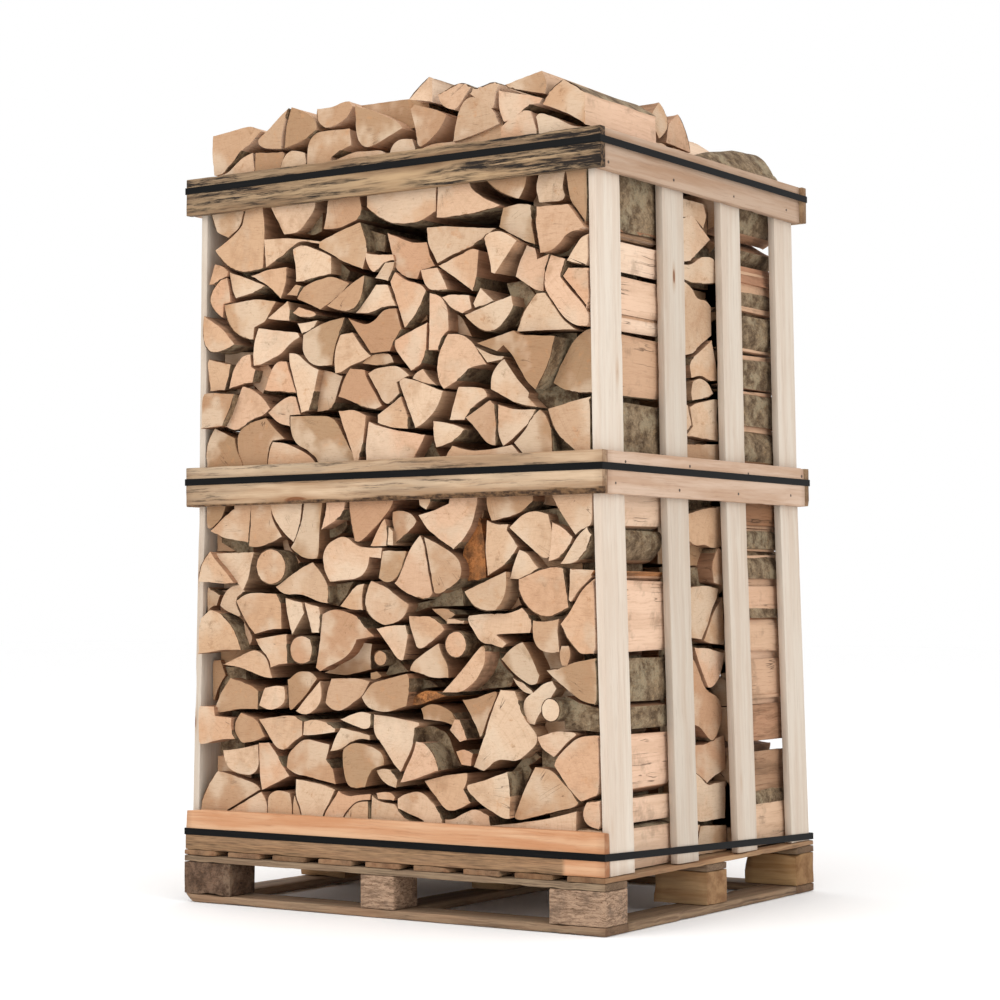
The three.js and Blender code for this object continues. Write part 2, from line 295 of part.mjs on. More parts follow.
  [0, 0, 3.2, 28, 7.8, 29.3, 10, 28.5, 13, 25.9, 15, 23, 14.7, 12.6, 11, 12.6, 9.6, 22.5, 2.2, 24.9,
    2.1, 27.2],
  [0, 0, 10, 31.5, 12.3, 32.2, 16, 33.1, 21.8, 33.8, 22.1, 32, 20.9, 30, 22.9, 27.1, 21, 25.9, 17,
    24.6, 16.2, 25],
  [0, 0, -14.8, 28.4, -12.5, 27.2, -9.7, 27.5, -5.4, 28, -5.5, 26.6, -9.5, 26.2, -13.5, 22.7, -14.2,
    12.6, -19.5, 12.6, -19.2, 22.5, -16.9, 25.5],
  [0, 0, -3.6, 28.2, -1, 28.8, 1, 28.6, 1.8, 27.5, 1.3, 26.6, -3.2, 26.8],
  [0, 0, -5.2, 27.7, -3.5, 26.4, 1.6, 25.9, 2.4, 24.7, 4.9, 22.5, 9.3, 21.5, 10.7, 12.6, -5.8, 12.6,
    -5.6, 23],
  [2.3, 1, 26.9, 61.2, 27, 58.5, 24.7, 54.7, 20.5, 51.7, 15.2, 51.7, 19.1, 55.4, 25.5, 62.2],
  [0, 0, 31.2, 59.5, 34, 62.1, 37.2, 63.5, 38.5, 62, 39.9, 59.5, 41.7, 56, 40.6, 53.5, 39.5, 53.4,
    35.1, 55.9],
  [-1, 0, 34.5, 55.4, 39.5, 52.9, 40.1, 51.9, 38, 51.7, 35.6, 53.4],
  [-1, 0, 37, 49.7, 37.6, 51.2, 40, 52.3, 42.5, 54.4, 45, 54.9, 46.2, 53.2, 44, 50, 41.3, 47.2, 40.3,
    45, 38.6, 45.2, 37, 48],
  [2.4, 0, 47.7, 48.4, 46.8, 51, 44.6, 52, 42.3, 51, 41.4, 48.4, 42.3, 45.8, 44.6, 44.8, 46.8, 45.8],
  [0, 0, 43.2, 57.1, 47, 57.6, 50.5, 59.1, 58, 60, 58, 49.7, 53, 50.2, 50.4, 51.7, 46.2, 54.6],
  [0, 0, 41, 42.4, 43, 43, 46, 44, 51.3, 43.6, 51.6, 43.2, 49.4, 42.1, 45.3, 38, 41.7, 40],
  [0, 0, 52, 42.9, 58, 43.2, 58, 30.3, 52.3, 28.5, 50.1, 30.1, 45.2, 36.2, 45.5, 37.6, 49.8, 41.7],
  [0, 1.3, 25.2, 43.1, 20.8, 50.2, 24.8, 50.8, 29.9, 52.6, 30.8, 52.6, 27.8, 46.6, 26.3, 42.7],
  [0, 0, 31.2, 52.7, 35, 52.5, 35.9, 50.5, 36.9, 47, 40.8, 43, 40.8, 40.9, 38, 38.5, 35, 36.5, 30.5,
    37.2, 26.5, 34.3, 23.8, 35.1, 25.6, 39.5, 27.2, 43.3, 28.3, 46.7],
  [2, 0, 21.3, 30.9, 25.8, 32.1, 33, 34.5, 33.7, 29, 33.6, 24, 32.3, 23.6, 25.4, 26.9, 21.6, 30],
  [0, 0, 40.4, 35.8, 44.8, 35.4, 46, 34.1, 52, 27.8, 51, 27.4, 35.5, 23.5, 34.4, 23.8, 37.2, 30.2],
  [-1, 0, 19, 38.5, 21.5, 39.4, 23.8, 38.2, 23.2, 35.3, 20.5, 35.5],
  [-1, 0, 17.2, 43.3, 18.6, 45.8, 20, 45.8, 22.1, 41.3, 20.2, 40.6],
  [0, 0, 17.6, 23, 20.5, 24.7, 24, 26, 27.8, 24.4, 28.4, 22, 28.4, 12.6, 15.2, 12.6, 15.4, 23],
  [0, 0, 35.2, 23.1, 44, 24.6, 51.2, 26.5, 51, 22, 51, 12.6, 28.6, 12.6, 28.6, 22.3],
  [0, 0, 58, 29, 53.8, 28.6, 52.5, 26.5, 52.9, 24.3, 54.3, 23, 58, 22.7],
  [0, 0, 51.3, 22.4, 58, 22.4, 58, 12.6, 51.3, 12.6],
  [0, 0, -38.4, 27.2, -36.5, 25, -35.9, 12.6, -49.8, 12.6, -48.5, 22],
  [0, 0, -28.3, 25, -27.8, 26.8, -25.8, 22.3, -25.3, 12.6, -28.3, 12.6],
  [0, 0, -13.3, 22.4, -9.5, 26, -6, 26.3, -6, 12.6, -14, 12.6],
];

// Ends of the heap above the top rail, laid down in the same way
const HEAP_ENDS = [
  [0.3, 0, -53.6, 187.2, -41.2, 188.4, -37.7, 186.6, -40, 185.2, -40.6, 184, -44.5, 182.7, -50, 178,
    -50, 177.4, -53.3, 177.3, -54, 182.5],
  [0, 0, -49, 177.3, -44.2, 181, -41, 181.8, -40.4, 177.5, -40.4, 172.4, -54, 172.4, -54, 177],
  [0.3, 0, -36.7, 186.3, -32.7, 189.2, -29.4, 191.3, -30.4, 189, -31.6, 185, -31.7, 181.5, -37.3,
    182.1, -40, 184.1, -39.4, 184.9],
  [0, 0, -40.1, 181.6, -30.9, 180.9, -30.7, 180, -32.4, 177.5, -32.4, 172.4, -40.1, 172.4],
  [0.3, 0, -29, 191.5, -25.7, 190.4, -22, 188.4, -20.2, 185.3, -21, 184.9, -23.8, 183.3, -28, 182.1,
    -30.9, 181.6, -30.8, 186, -29.7, 189.4],
  [0, 0, -30.3, 180.4, -28.3, 181.1, -24.7, 180, -24.2, 177.5, -24.2, 172.4, -32.1, 172.4, -32.1, 177.4],
  [0.3, 0, -23.7, 182.1, -22, 184.3, -19.5, 184.6, -11.1, 184.3, -10.6, 180.2, -13.5, 179.4, -16.5,
    177.9, -16.7, 172.4, -24, 172.4, -23.9, 180],
  [0.3, 1.2, -20.7, 190, -15.2, 190, -14, 190.8, -11.2, 190.8, -10.2, 189.5, -11.3, 187.1, -15.2,
    185.3, -18.3, 185.1],
  [0.3, 0, -9.4, 189.6, -5, 188, -0.3, 185.9, 3.5, 184, 4.2, 182.6, 0.3, 181, -4.3, 179.2, -6, 178.7,
    -8.2, 180.1, -9.2, 183],
  [0, 0, -9.3, 178.8, -7, 178.4, -1, 178, -0.2, 177.5, -0.2, 172.4, -16.5, 172.4, -16.5, 177.1],
  [0, 0, 0.6, 177.5, 1.3, 179.2, 3.7, 180.3, 7, 179.8, 8.1, 177.5, 8.1, 172.4, 0, 172.4],
  [0.3, 0.8, 8.5, 180, 6.5, 186.7, 7.7, 187.7, 14, 185.8, 17, 184.1, 15.4, 181.2, 12, 178.4, 9.5, 177.4],
  [0.3, 0, 6.2, 188.9, 12.1, 193.6, 13.1, 193.2, 13.1, 187.5, 10, 188.2],
  [0.3, 0, 14.4, 189.2, 16, 189.5, 20.5, 191.1, 22.6, 190.8, 23.8, 189.7, 22.6, 188.4, 20.3, 185.6,
    19.7, 184.8, 16, 185.9, 14.9, 187.1],
  [0.3, 0, 24.3, 189.4, 26.2, 189.3, 30.7, 190.2, 31.7, 189.7, 30.6, 188, 30.1, 184, 29.9, 183.5, 27.7,
    184.9, 24.6, 187.2, 23.4, 188.1],
  [0.3, 0, 20.6, 185.3, 22.8, 187.6, 24.8, 187.5, 30, 183.9, 31.5, 180.4, 27.4, 179.2, 21.5, 177.9,
    18.7, 177.6, 19.5, 182],
  [0.3, 0, 31.2, 188.1, 35.5, 187, 39.5, 186, 43.2, 184.9, 42.5, 183.7, 40.3, 184, 37.5, 182.5, 34,
    180.7, 32.4, 180.7, 31.2, 183.5],
  [0.3, 0.5, 32.9, 189.2, 40, 190.6, 43, 191.1, 44.4, 189.5, 44.5, 187.5, 43.9, 185.7, 39.7, 186.6,
    35.5, 187.9],
  [0.3, 0, 48.7, 188.5, 45, 186.1, 43.2, 183.4, 50.5, 180.2, 58, 177.6, 58, 184.8],
  [0, 0, 34.2, 181.2, 37.7, 183, 40, 182.4, 41.6, 177.7, 41.6, 172.4, 32, 172.4, 32, 179.6],
  [0, 0, 41, 181.6, 42, 182, 47, 180, 51.3, 177.5, 58, 177.2, 58, 172.4, 42, 172.4, 42, 177.7],
  [0, 0, 18.4, 177.9, 21.5, 178.3, 27.4, 179.7, 31.7, 180.8, 31.7, 172.4, 8.5, 172.4, 8.5, 176.8, 12.5,
    178],
];
const LOOSE = [0, 2, 4, 7, 8, 11, 12, 13, 17, 18];

// Ends of the middle row's logs, which lie crosswise, as y, z on the crate's side
const SIDE_ENDS = [
  [0, 0, -5.3, 167.2, 6, 167.2, 7.5, 164.3, 6, 161.2, 2, 163.2, -4.7, 162.7, -9, 163],
  [0, 0, -9, 162, -4.7, 162.2, 0.5, 164, 5.5, 161.1, 9.2, 159, 1.8, 154.1, 0, 152.6, -9, 151.6],
  [2, 0, -9, 151.2, 0, 151.9, 4.5, 154.4, 10, 154.8, 15, 149.9, 13.5, 149.1, 0.5, 147.7, -9, 148.8],
  [0, 0, -4.2, 147.9, 1, 146.6, 3, 144.3, 8.5, 144.3, 10.8, 143, 10.8, 136, 4, 132.9, 1, 130.9, -4,
    129.9, -7, 138],
  [0, 0.5, 1.5, 130.2, 9.8, 134.9, 12, 128.5, 12, 125.2, 9, 124.7, 5, 126, 0.2, 125, -0.5, 128],
  [0.5, 0, 0, 124.2, 3.5, 125.4, 7.8, 124.5, 10.4, 122, 5, 120.4, 0, 119.6, -1, 121.5],
  [0, 0, 0.5, 118.9, 11, 120.8, 13.8, 120.8, 12, 118, 13, 110.6, -3.3, 111.1, 0.1, 113.5, -1.4, 118],
  [0, 0, -9, 120.8, -2, 118.4, -0.5, 113.8, -4, 111.6, -9, 112],
  [0, 0, -9, 109, 13, 110, 15, 101, -9, 101],
  [1.2, 0.8, 14.5, 95.1, 15, 85.4, 10, 84.8, 5, 85.7, 1.5, 85.1, -7, 88, -7, 91.8],
  [2, 1.2, 13, 84, 13.2, 76, 9, 76.6, 8, 81, 10, 84],
  [0, 0, -7, 75.4, 6, 76.1, 12.8, 75.3, 12, 73.1, 9.5, 70.7, 7, 66.6, 4, 63.2, -7, 64.2],
  [0, 0, 9.8, 69.9, 14.5, 73.3, 14.8, 61.7, 7.4, 62.2, 4.5, 62.9, 7.5, 66.8],
  [0.5, 0, 0.6, 61.4, 6.5, 61.3, 15, 59.8, 12.3, 54.1, 8.5, 51.7, 6.5, 51.7, 2.4, 57.5],
  [0.5, 1, 6.7, 39.8, 2.3, 42.8, -7, 44.5, -7, 60, 0.4, 58.9, 6, 51.4, 12.3, 49.4, 14.2, 47.4, 14.2,
    43.6, 11, 40.1],
  [0, 0, -7, 38.4, 6, 38.5, 11, 39.7, 14.8, 40.2, 14.8, 32.1, 8.5, 30.4, 6, 29.2, 2.4, 31.4, -7, 35.5],
  [0, 0, -7, 35, 2.3, 31.2, 6, 28.8, 14.8, 29.4, 14.8, 20.4, 2.5, 20.2, -7, 24],
  [0, 0, -7, 20, 2, 19.9, 0.6, 17, -7, 12.6],
  [0, 0, 2.7, 19.4, 6.5, 19.4, 14.8, 18.8, 14.8, 12.6, 0.6, 12.6],
];
const MIDDLE_HEAP_HALF = 500;
const MIDDLE_HEAP = [
  [0, 0, -15.2, 172, 15.2, 172, 15.2, 179.5, 9, 182, -2, 182.4, -13, 182],
  [0, 4.6, -7, 181, -11.6, 185.7, -7, 190.4],
  [0, 1, 9.6, 181.3, -2.2, 181.8, -1.5, 186, 3, 189],
];

const wasm = await Module();
wasm.setup();

const group = new THREE.Group();

function material(name, colour, roughness) {
  return new THREE.MeshStandardMaterial({ name, color: colour, roughness, metalness: 0 });
}

function addPart(name, geometry, colour, roughness = 0.85) {
  const mesh = new THREE.Mesh(geometry, material(name, colour, roughness));
  mesh.name = name;
  group.add(mesh);
}

// Half the crate's inside width at a height
function wallHalf(z) {
  const foot = WALL_FOOT_LEAN * Math.max(0, WALL_BEND_HEIGHT - z);
  return WALL_TOP_HALF + WALL_LEAN * (WALL_TOP_HEIGHT - z) + foot;
}

// A closed geometry as a solid for cutting and joining
function solidOf(geometry) {
  const bare = geometry.clone();
  bare.deleteAttribute('normal');
  bare.deleteAttribute('uv');
  const merged = mergeVertices(bare, 1e-4);
  return new wasm.Manifold(new wasm.Mesh({
    numProp: 3,
    vertProperties: merged.attributes.position.array,
    triVerts: new Uint32Array(merged.index.array),
  }));
}

function geometryOf(solid) {
  const mesh = solid.getMesh();
  const geometry = new THREE.BufferGeometry();
  geometry.setAttribute('position', new THREE.BufferAttribute(new Float32Array(mesh.vertProperties), 3));
  geometry.setIndex(new THREE.BufferAttribute(new Uint32Array(mesh.triVerts), 1));
  const faces = geometry.toNonIndexed();
  faces.computeVertexNormals();
  return faces;
}

// A box from its limits
function board([x0, x1], [y0, y1], [z0, z1]) {
  const geometry = new THREE.BoxGeometry(x1 - x0, y1 - y0, z1 - z0);
  return geometry.translate((x0 + x1) / 2, (y0 + y1) / 2, (z0 + z1) / 2);
}

function extruded(points, depth) {
  const shape = new THREE.Shape(points.map(([a, b]) => new THREE.Vector2(a, b)));
  return new THREE.ExtrudeGeometry(shape, { depth, bevelEnabled: false, steps: 1 });
}

// A prism with its outline in x and z, from y0 to y1
function prismAlongY(points, y0, y1) {
  return extruded(points, y1 - y0).rotateX(Math.PI / 2).translate(0, y1, 0);
}

// A prism with its outline in y and z, from x0 to x1
function prismAlongX(points, x0, x1) {
  const turn = new THREE.Matrix4().makeBasis(
    new THREE.Vector3(0, 1, 0),
    new THREE.Vector3(0, 0, 1),
    new THREE.Vector3(1, 0, 0),
  );
  return extruded(points, x1 - x0).applyMatrix4(turn).translate(x0, 0, 0);
}

function signedArea(points) {
  let sum = 0;
  points.forEach(([x, z], i) => {
    const [nx, nz] = points[(i + 1) % points.length];
    sum += x * nz - nx * z;
  });
  return sum / 2;
}

// The corners of an end, in millimetres, with the bark's arc filled in
function outlineOf([, bulge, ...numbers], steps = ARC_STEPS) {
  const corners = [];
  for (let i = 0; i < numbers.length; i += 2) {
    corners.push([numbers[i] * CM, numbers[i + 1] * CM]);
  }
  const [ax, az] = corners[corners.length - 1];
  const [bx, bz] = corners[0];
  const side = Math.sign(signedArea(corners));
  const chord = Math.hypot(bx - ax, bz - az);
  const nx = (side * (bz - az)) / chord;
  const nz = (-side * (bx - ax)) / chord;
  const arc = [];
  for (let i = 1; i < steps && bulge > 0; i += 1) {
    const t = i / steps;
    const rise = 4 * t * (1 - t) * bulge * CM;
    arc.push([ax + t * (bx - ax) + nx * rise, az + t * (bz - az) + nz * rise]);
  }
  const outline = [...corners, ...arc];
  return side < 0 ? outline.reverse() : outline;
}

function crossesRail(points) {
  const low = Math.min(...points.map(([, z]) => z));
  const high = Math.max(...points.map(([, z]) => z));
  return [BOTTOM_RAIL, MIDDLE_RAIL, TOP_RAIL].some(([z0, z1]) => low < z1 && high > z0);
}

// Moves an outline that stands out by some millimetres along the line of sight, inside the walls
function placed(points, out) {
  const t = out / SIGHT_RANGE;
  return points.map(([x, z]) => {
    const px = x + t * (SIGHT_X - x);
    const pz = z + t * (SIGHT_Z - z);
    const limit = wallHalf(pz) - LOG_CLEAR;
    return [THREE.MathUtils.clamp(px, -limit, limit), pz];
  });
}

// How far an end stands out of the row's face; behind a rail it doesn't
function standing([out], outline) {
  return crossesRail(placed(outline, out * CM)) ? Math.min(0, out * CM) : out * CM;
}

function joined(geometries) {
  return wasm.Manifold.union(geometries.map(solidOf));
}

// The body of a lengthwise row behind its ends
function rowCore() {
  const right = [STACK_BOTTOM, WALL_BEND_HEIGHT, STACK_TOP].map((z) => [wallHalf(z) - CORE_CLEAR, z]);
  const left = right.map(([x, z]) => [-x, z]).reverse();
  return prismAlongY([...right, ...left], -ROW_CORE_FACE, -MIDDLE_HALF_DEPTH - ROW_GAP);
}

function frontEnd(end, steps) {
  const outline = outlineOf(end, steps);
  const out = standing(end, outline);
  return prismAlongY(placed(outline, out), -ROW_FACE - out, -ROW_CORE_FACE + LOG_CLEAR);
}

function heapLog(end, growth = 0) {
  const outline = grown(outlineOf(end), growth);
  const out = standing(end, outline);
  return prismAlongY(placed(outline, out), -ROW_FACE - out, -MIDDLE_HALF_DEPTH - ROW_GAP);
}

// The room that a heap log takes, for cutting what rests on it
function heapRoom(end) {
  const outline = outlineOf(end);
  const room = grown(placed(outline, standing(end, outline)), LOOSE_GAP);
  return solidOf(prismAlongY(room, -CRATE_DEPTH, 0));
}

// An outline with each side moved out by a small distance
function grown(points, by) {
  const count = points.length;
  return points.map(([x, z], i) => {
    const [px, pz] = points[(i + count - 1) % count];
    const [nx, nz] = points[(i + 1) % count];
    const before = new THREE.Vector2(z - pz, px - x).normalize();
    const after = new THREE.Vector2(nz - z, x - nx).normalize();
    const sum = before.clone().add(after);
    const reach = by / Math.max(0.35, sum.lengthSq() / 2);
    return [x + sum.x * reach, z + sum.y * reach];
  });
}

function addPallet() {
  const halfX = LENGTH / 2;
  const halfY = DEPTH / 2;
  const base = [0, BASE_THICK];
  const front = [-halfY, -halfY + BOARD_WIDE];
  const back = [halfY - BOARD_WIDE, halfY];
  const between = [front[1] + GAP, back[0] - GAP];
  const middle = [-BOARD_WIDE / 2, BOARD_WIDE / 2];
  const across = [-halfX, halfX];
  addPart('base_board_front', board(across, front, base), 0xa9876a);
  addPart('base_board_back', board(across, back, base), 0xa9876a);
  addPart('base_board_left', board([-halfX, -halfX + BOARD_WIDE], between, base), 0xb5916f);
  addPart('base_board_right', board([halfX - BOARD_WIDE, halfX], between, base), 0xb5916f);
  const centre = [CENTRE_BLOCK_X - BOARD_WIDE / 2, CENTRE_BLOCK_X + BOARD_WIDE / 2];
  addPart('base_board_centre', board(centre, between, base), 0xb5916f);

  const columns = {
    left: [-halfX, -halfX + CORNER_BLOCK_LONG],
    centre,
    right: [halfX - CORNER_BLOCK_LONG, halfX],
  };
  const rows = { front, middle, back };
  const blockTints = { left: 0x5e4c3c, centre: 0x9c8468, right: 0x94806b };
  Object.entries(rows).forEach(([rowName, y]) => {
    Object.entries(columns).forEach(([columnName, x]) => {
      const tint = rowName === 'front' ? blockTints[columnName] : 0xc79a68;
      addPart(`block_${rowName}_${columnName}`, board(x, y, [BASE_THICK + GAP, BLOCK_TOP]), tint);
    });
    addPart(`stringer_${rowName}`, board(across, y, [BLOCK_TOP + GAP, STRINGER_TOP]), 0xa98a6c);
  });

  const pitch = (LENGTH - DECK_BOARD_WIDE) / (DECK_BOARDS - 1);
  for (let i = 0; i < DECK_BOARDS; i += 1) {
    const x0 = -halfX + i * pitch;
    const deck = board([x0, x0 + DECK_BOARD_WIDE], [-halfY, halfY], [STRINGER_TOP + GAP, DECK_TOP]);
    addPart(`deck_board_${i + 1}`, deck, 0xb39376);
  }
}

function addRails() {
  const halfX = CRATE_LENGTH / 2;
  const halfY = CRATE_DEPTH / 2;
  const along = [-halfX, halfX];
  const front = [-halfY, -halfY + RAIL_THICK];
  const back = [halfY - RAIL_THICK, halfY];
  const levels = { bottom: BOTTOM_RAIL, middle: MIDDLE_RAIL, top: TOP_RAIL };
  const frontTints = { bottom: 0xd9a583, middle: 0xb29a7c, top: 0x6b5d50 };
  Object.entries(levels).forEach(([level, z]) => {
    addPart(`front_rail_${level}`, board(along, front, z), frontTints[level]);
    const backAlong = level === 'bottom' ? [-BACK_FOOT_RAIL_HALF, BACK_FOOT_RAIL_HALF] : along;
    addPart(`back_rail_${level}`, board(backAlong, back, z), 0xb79a7d);
  });
  const run = [front[1] + GAP, back[0] - GAP];
  const outer = { middle: halfX, top: halfX - TOP_RAIL_INSET };
  Object.entries(outer).forEach(([level, x]) => {
    const inner = x - SIDE_RAIL_THICK;
    addPart(`side_rail_left_${level}`, board([-x, -inner], run, levels[level]), 0xd8b597);
    addPart(`side_rail_right_${level}`, board([inner, x], run, levels[level]), 0xd8b597);
  });
}

// A slat is an upright board that leans and bends with the wall and turns a little in its plane
function slat(side, y, wide, turnDeg) {
  const z0 = DECK_TOP + 2 * GAP;
  const tall = SLAT_TOP - z0;
  const geometry = new THREE.BoxGeometry(SLAT_THICK, wide, tall, 1, 1, 2);
  geometry.rotateX(THREE.MathUtils.degToRad(turnDeg));
  const at = geometry.attributes.position;
  for (let i = 0; i < at.count; i += 1) {
    const z = at.getZ(i) + z0 + tall / 2;
    const height = Math.max(z, z0);
    at.setXYZ(i, side * (wallHalf(height) + SLAT_THICK / 2 + side * at.getX(i)), at.getY(i) + y, height);
  }
  return geometry;
}

function addSlats() {
  SLAT_PLACES.forEach((y, i) => {
    addPart(`slat_left_${i + 1}`, slat(-1, y, SLAT_WIDTHS[i], SLAT_TURNS_DEG[i]), 0xe2d0bd);
    addPart(`slat_right_${i + 1}`, slat(1, y, SLAT_WIDTHS[i], SLAT_TURNS_DEG[i]), 0xe6d5c4);
  });
}

// A strap is a flat band pulled round the crate's corners
function strap(centre, drop) {
  const inX = CRATE_LENGTH / 2 + GAP;
  const inY = CRATE_DEPTH / 2 + GAP;
  const ring = (grow) => [[-1, -1], [1, -1], [1, 1], [-1, 1]].map(
    ([sx, sy]) => new THREE.Vector2(sx * (inX + grow), sy * (inY + grow)),
  );
  const shape = new THREE.Shape(ring(STRAP_THICK));
  shape.holes.push(new THREE.Path(ring(0)));
  const geometry = new THREE.ExtrudeGeometry(shape, { depth: STRAP_WIDE, bevelEnabled: false });
  geometry.translate(0, 0, centre - STRAP_WIDE / 2);
  const at = geometry.attributes.position;
  for (let i = 0; i < at.count; i += 1) {
    const farRight = Number(at.getX(i) > 0 && at.getY(i) > 0);
    at.setZ(i, at.getZ(i) - drop * farRight);
  }
  geometry.computeVertexNormals();
  return geometry;
}

function addStraps() {
  Object.entries(STRAP_HEIGHTS).forEach(([level, height]) => {
    const drop = level === 'bottom' ? BOTTOM_STRAP_DROP : 0;
    addPart(`strap_${level}`, strap(height, drop), 0x1d1b1b, 0.35);
  });
}

function addFrontRow() {
  const fixed = HEAP_ENDS.filter((end, i) => !LOOSE.includes(i));
  const row = joined([rowCore(), ...FRONT_ENDS.map((end) => frontEnd(end)), ...fixed.map((end) => heapLog(end))]);
  addPart('front_log_row', geometryOf(row), 0xdcb893);

  // The uppermost logs lie loose on the others
  let taken = wasm.Manifold.union(fixed.map(heapRoom));
  LOOSE.forEach((index, i) => {
    const end = HEAP_ENDS[index];
    const pieces = solidOf(heapLog(end)).subtract(taken).decompose();
    pieces.sort((a, b) => b.volume() - a.volume());
    addPart(`heap_log_${i + 1}`, geometryOf(pieces[0]), 0xdcb893);
    taken = taken.add(heapRoom(end));
  });
}

// The back row is the front row's pattern turned about the upright axis, with its largest ends
function addBackRow() {
  const large = FRONT_ENDS.filter((end) => Math.abs(signedArea(outlineOf(end, 1))) > SMALL_END);
  const row = joined([
    rowCore(),
    ...large.map((end) => frontEnd(end, 1)),
    ...HEAP_ENDS.map((end) => heapLog(end, BACK_HEAP_GROWTH)),
  ]);
  addPart('back_log_row', geometryOf(row).rotateZ(Math.PI), 0xd2ac88);
}

function sideEnd(end) {
  const points = outlineOf(end);
  return prismAlongX(points, MIDDLE_CORE_HALF - LOG_CLEAR, SIDE_FACE + end[0] * 2);
}

function addMiddleRow() {
  const deep = MIDDLE_HALF_DEPTH;
  const core = [[-deep, STACK_BOTTOM], [deep, STACK_BOTTOM], [deep, STACK_TOP], [-deep, STACK_TOP]];
  const half = [
    prismAlongX(core, -LOG_CLEAR, MIDDLE_CORE_HALF),
    ...SIDE_ENDS.map(sideEnd),
  ];
  const oneSide = joined(half);
  const otherSide = joined(half.map((geometry) => geometry.clone().rotateZ(Math.PI)));
  const heap = MIDDLE_HEAP.map((end) => prismAlongX(outlineOf(end), -MIDDLE_HEAP_HALF, MIDDLE_HEAP_HALF));
  addPart('middle_log_row', geometryOf(oneSide.add(otherSide).add(joined(heap))), 0xd8b08a);
}

addPallet();
addRails();
addSlats();
addStraps();
addFrontRow();
addBackRow();
addMiddleRow();

export default group;
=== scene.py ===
import json
import math
import random

import bmesh
import bpy
from mathutils import Matrix, Vector, noise

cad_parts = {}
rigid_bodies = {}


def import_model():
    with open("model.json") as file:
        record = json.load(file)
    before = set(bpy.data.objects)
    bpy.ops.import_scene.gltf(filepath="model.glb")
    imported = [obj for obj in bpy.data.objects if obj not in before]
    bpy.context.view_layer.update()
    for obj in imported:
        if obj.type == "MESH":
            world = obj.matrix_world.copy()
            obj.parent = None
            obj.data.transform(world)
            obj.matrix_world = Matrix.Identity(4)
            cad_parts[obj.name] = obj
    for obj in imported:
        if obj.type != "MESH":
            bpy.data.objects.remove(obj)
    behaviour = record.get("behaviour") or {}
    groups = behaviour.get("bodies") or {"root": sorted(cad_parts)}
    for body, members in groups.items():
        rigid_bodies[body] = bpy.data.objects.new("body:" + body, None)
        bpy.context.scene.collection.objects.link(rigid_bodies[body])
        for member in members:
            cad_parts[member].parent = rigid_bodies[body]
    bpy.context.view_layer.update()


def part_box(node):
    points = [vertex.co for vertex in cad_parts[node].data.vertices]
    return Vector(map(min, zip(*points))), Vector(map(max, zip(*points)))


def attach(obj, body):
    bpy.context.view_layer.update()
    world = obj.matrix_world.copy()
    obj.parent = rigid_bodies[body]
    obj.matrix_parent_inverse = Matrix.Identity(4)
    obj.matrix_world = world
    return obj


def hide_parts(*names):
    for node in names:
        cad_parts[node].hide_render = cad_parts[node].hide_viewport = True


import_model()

# Pallet
# A four-way timber pallet: three base boards and two cross boards on the ground, nine blocks,
# three stringers and nine thin deck boards, all of rough sawn softwood, nailed through.

MM = 0.001
CM = 0.01


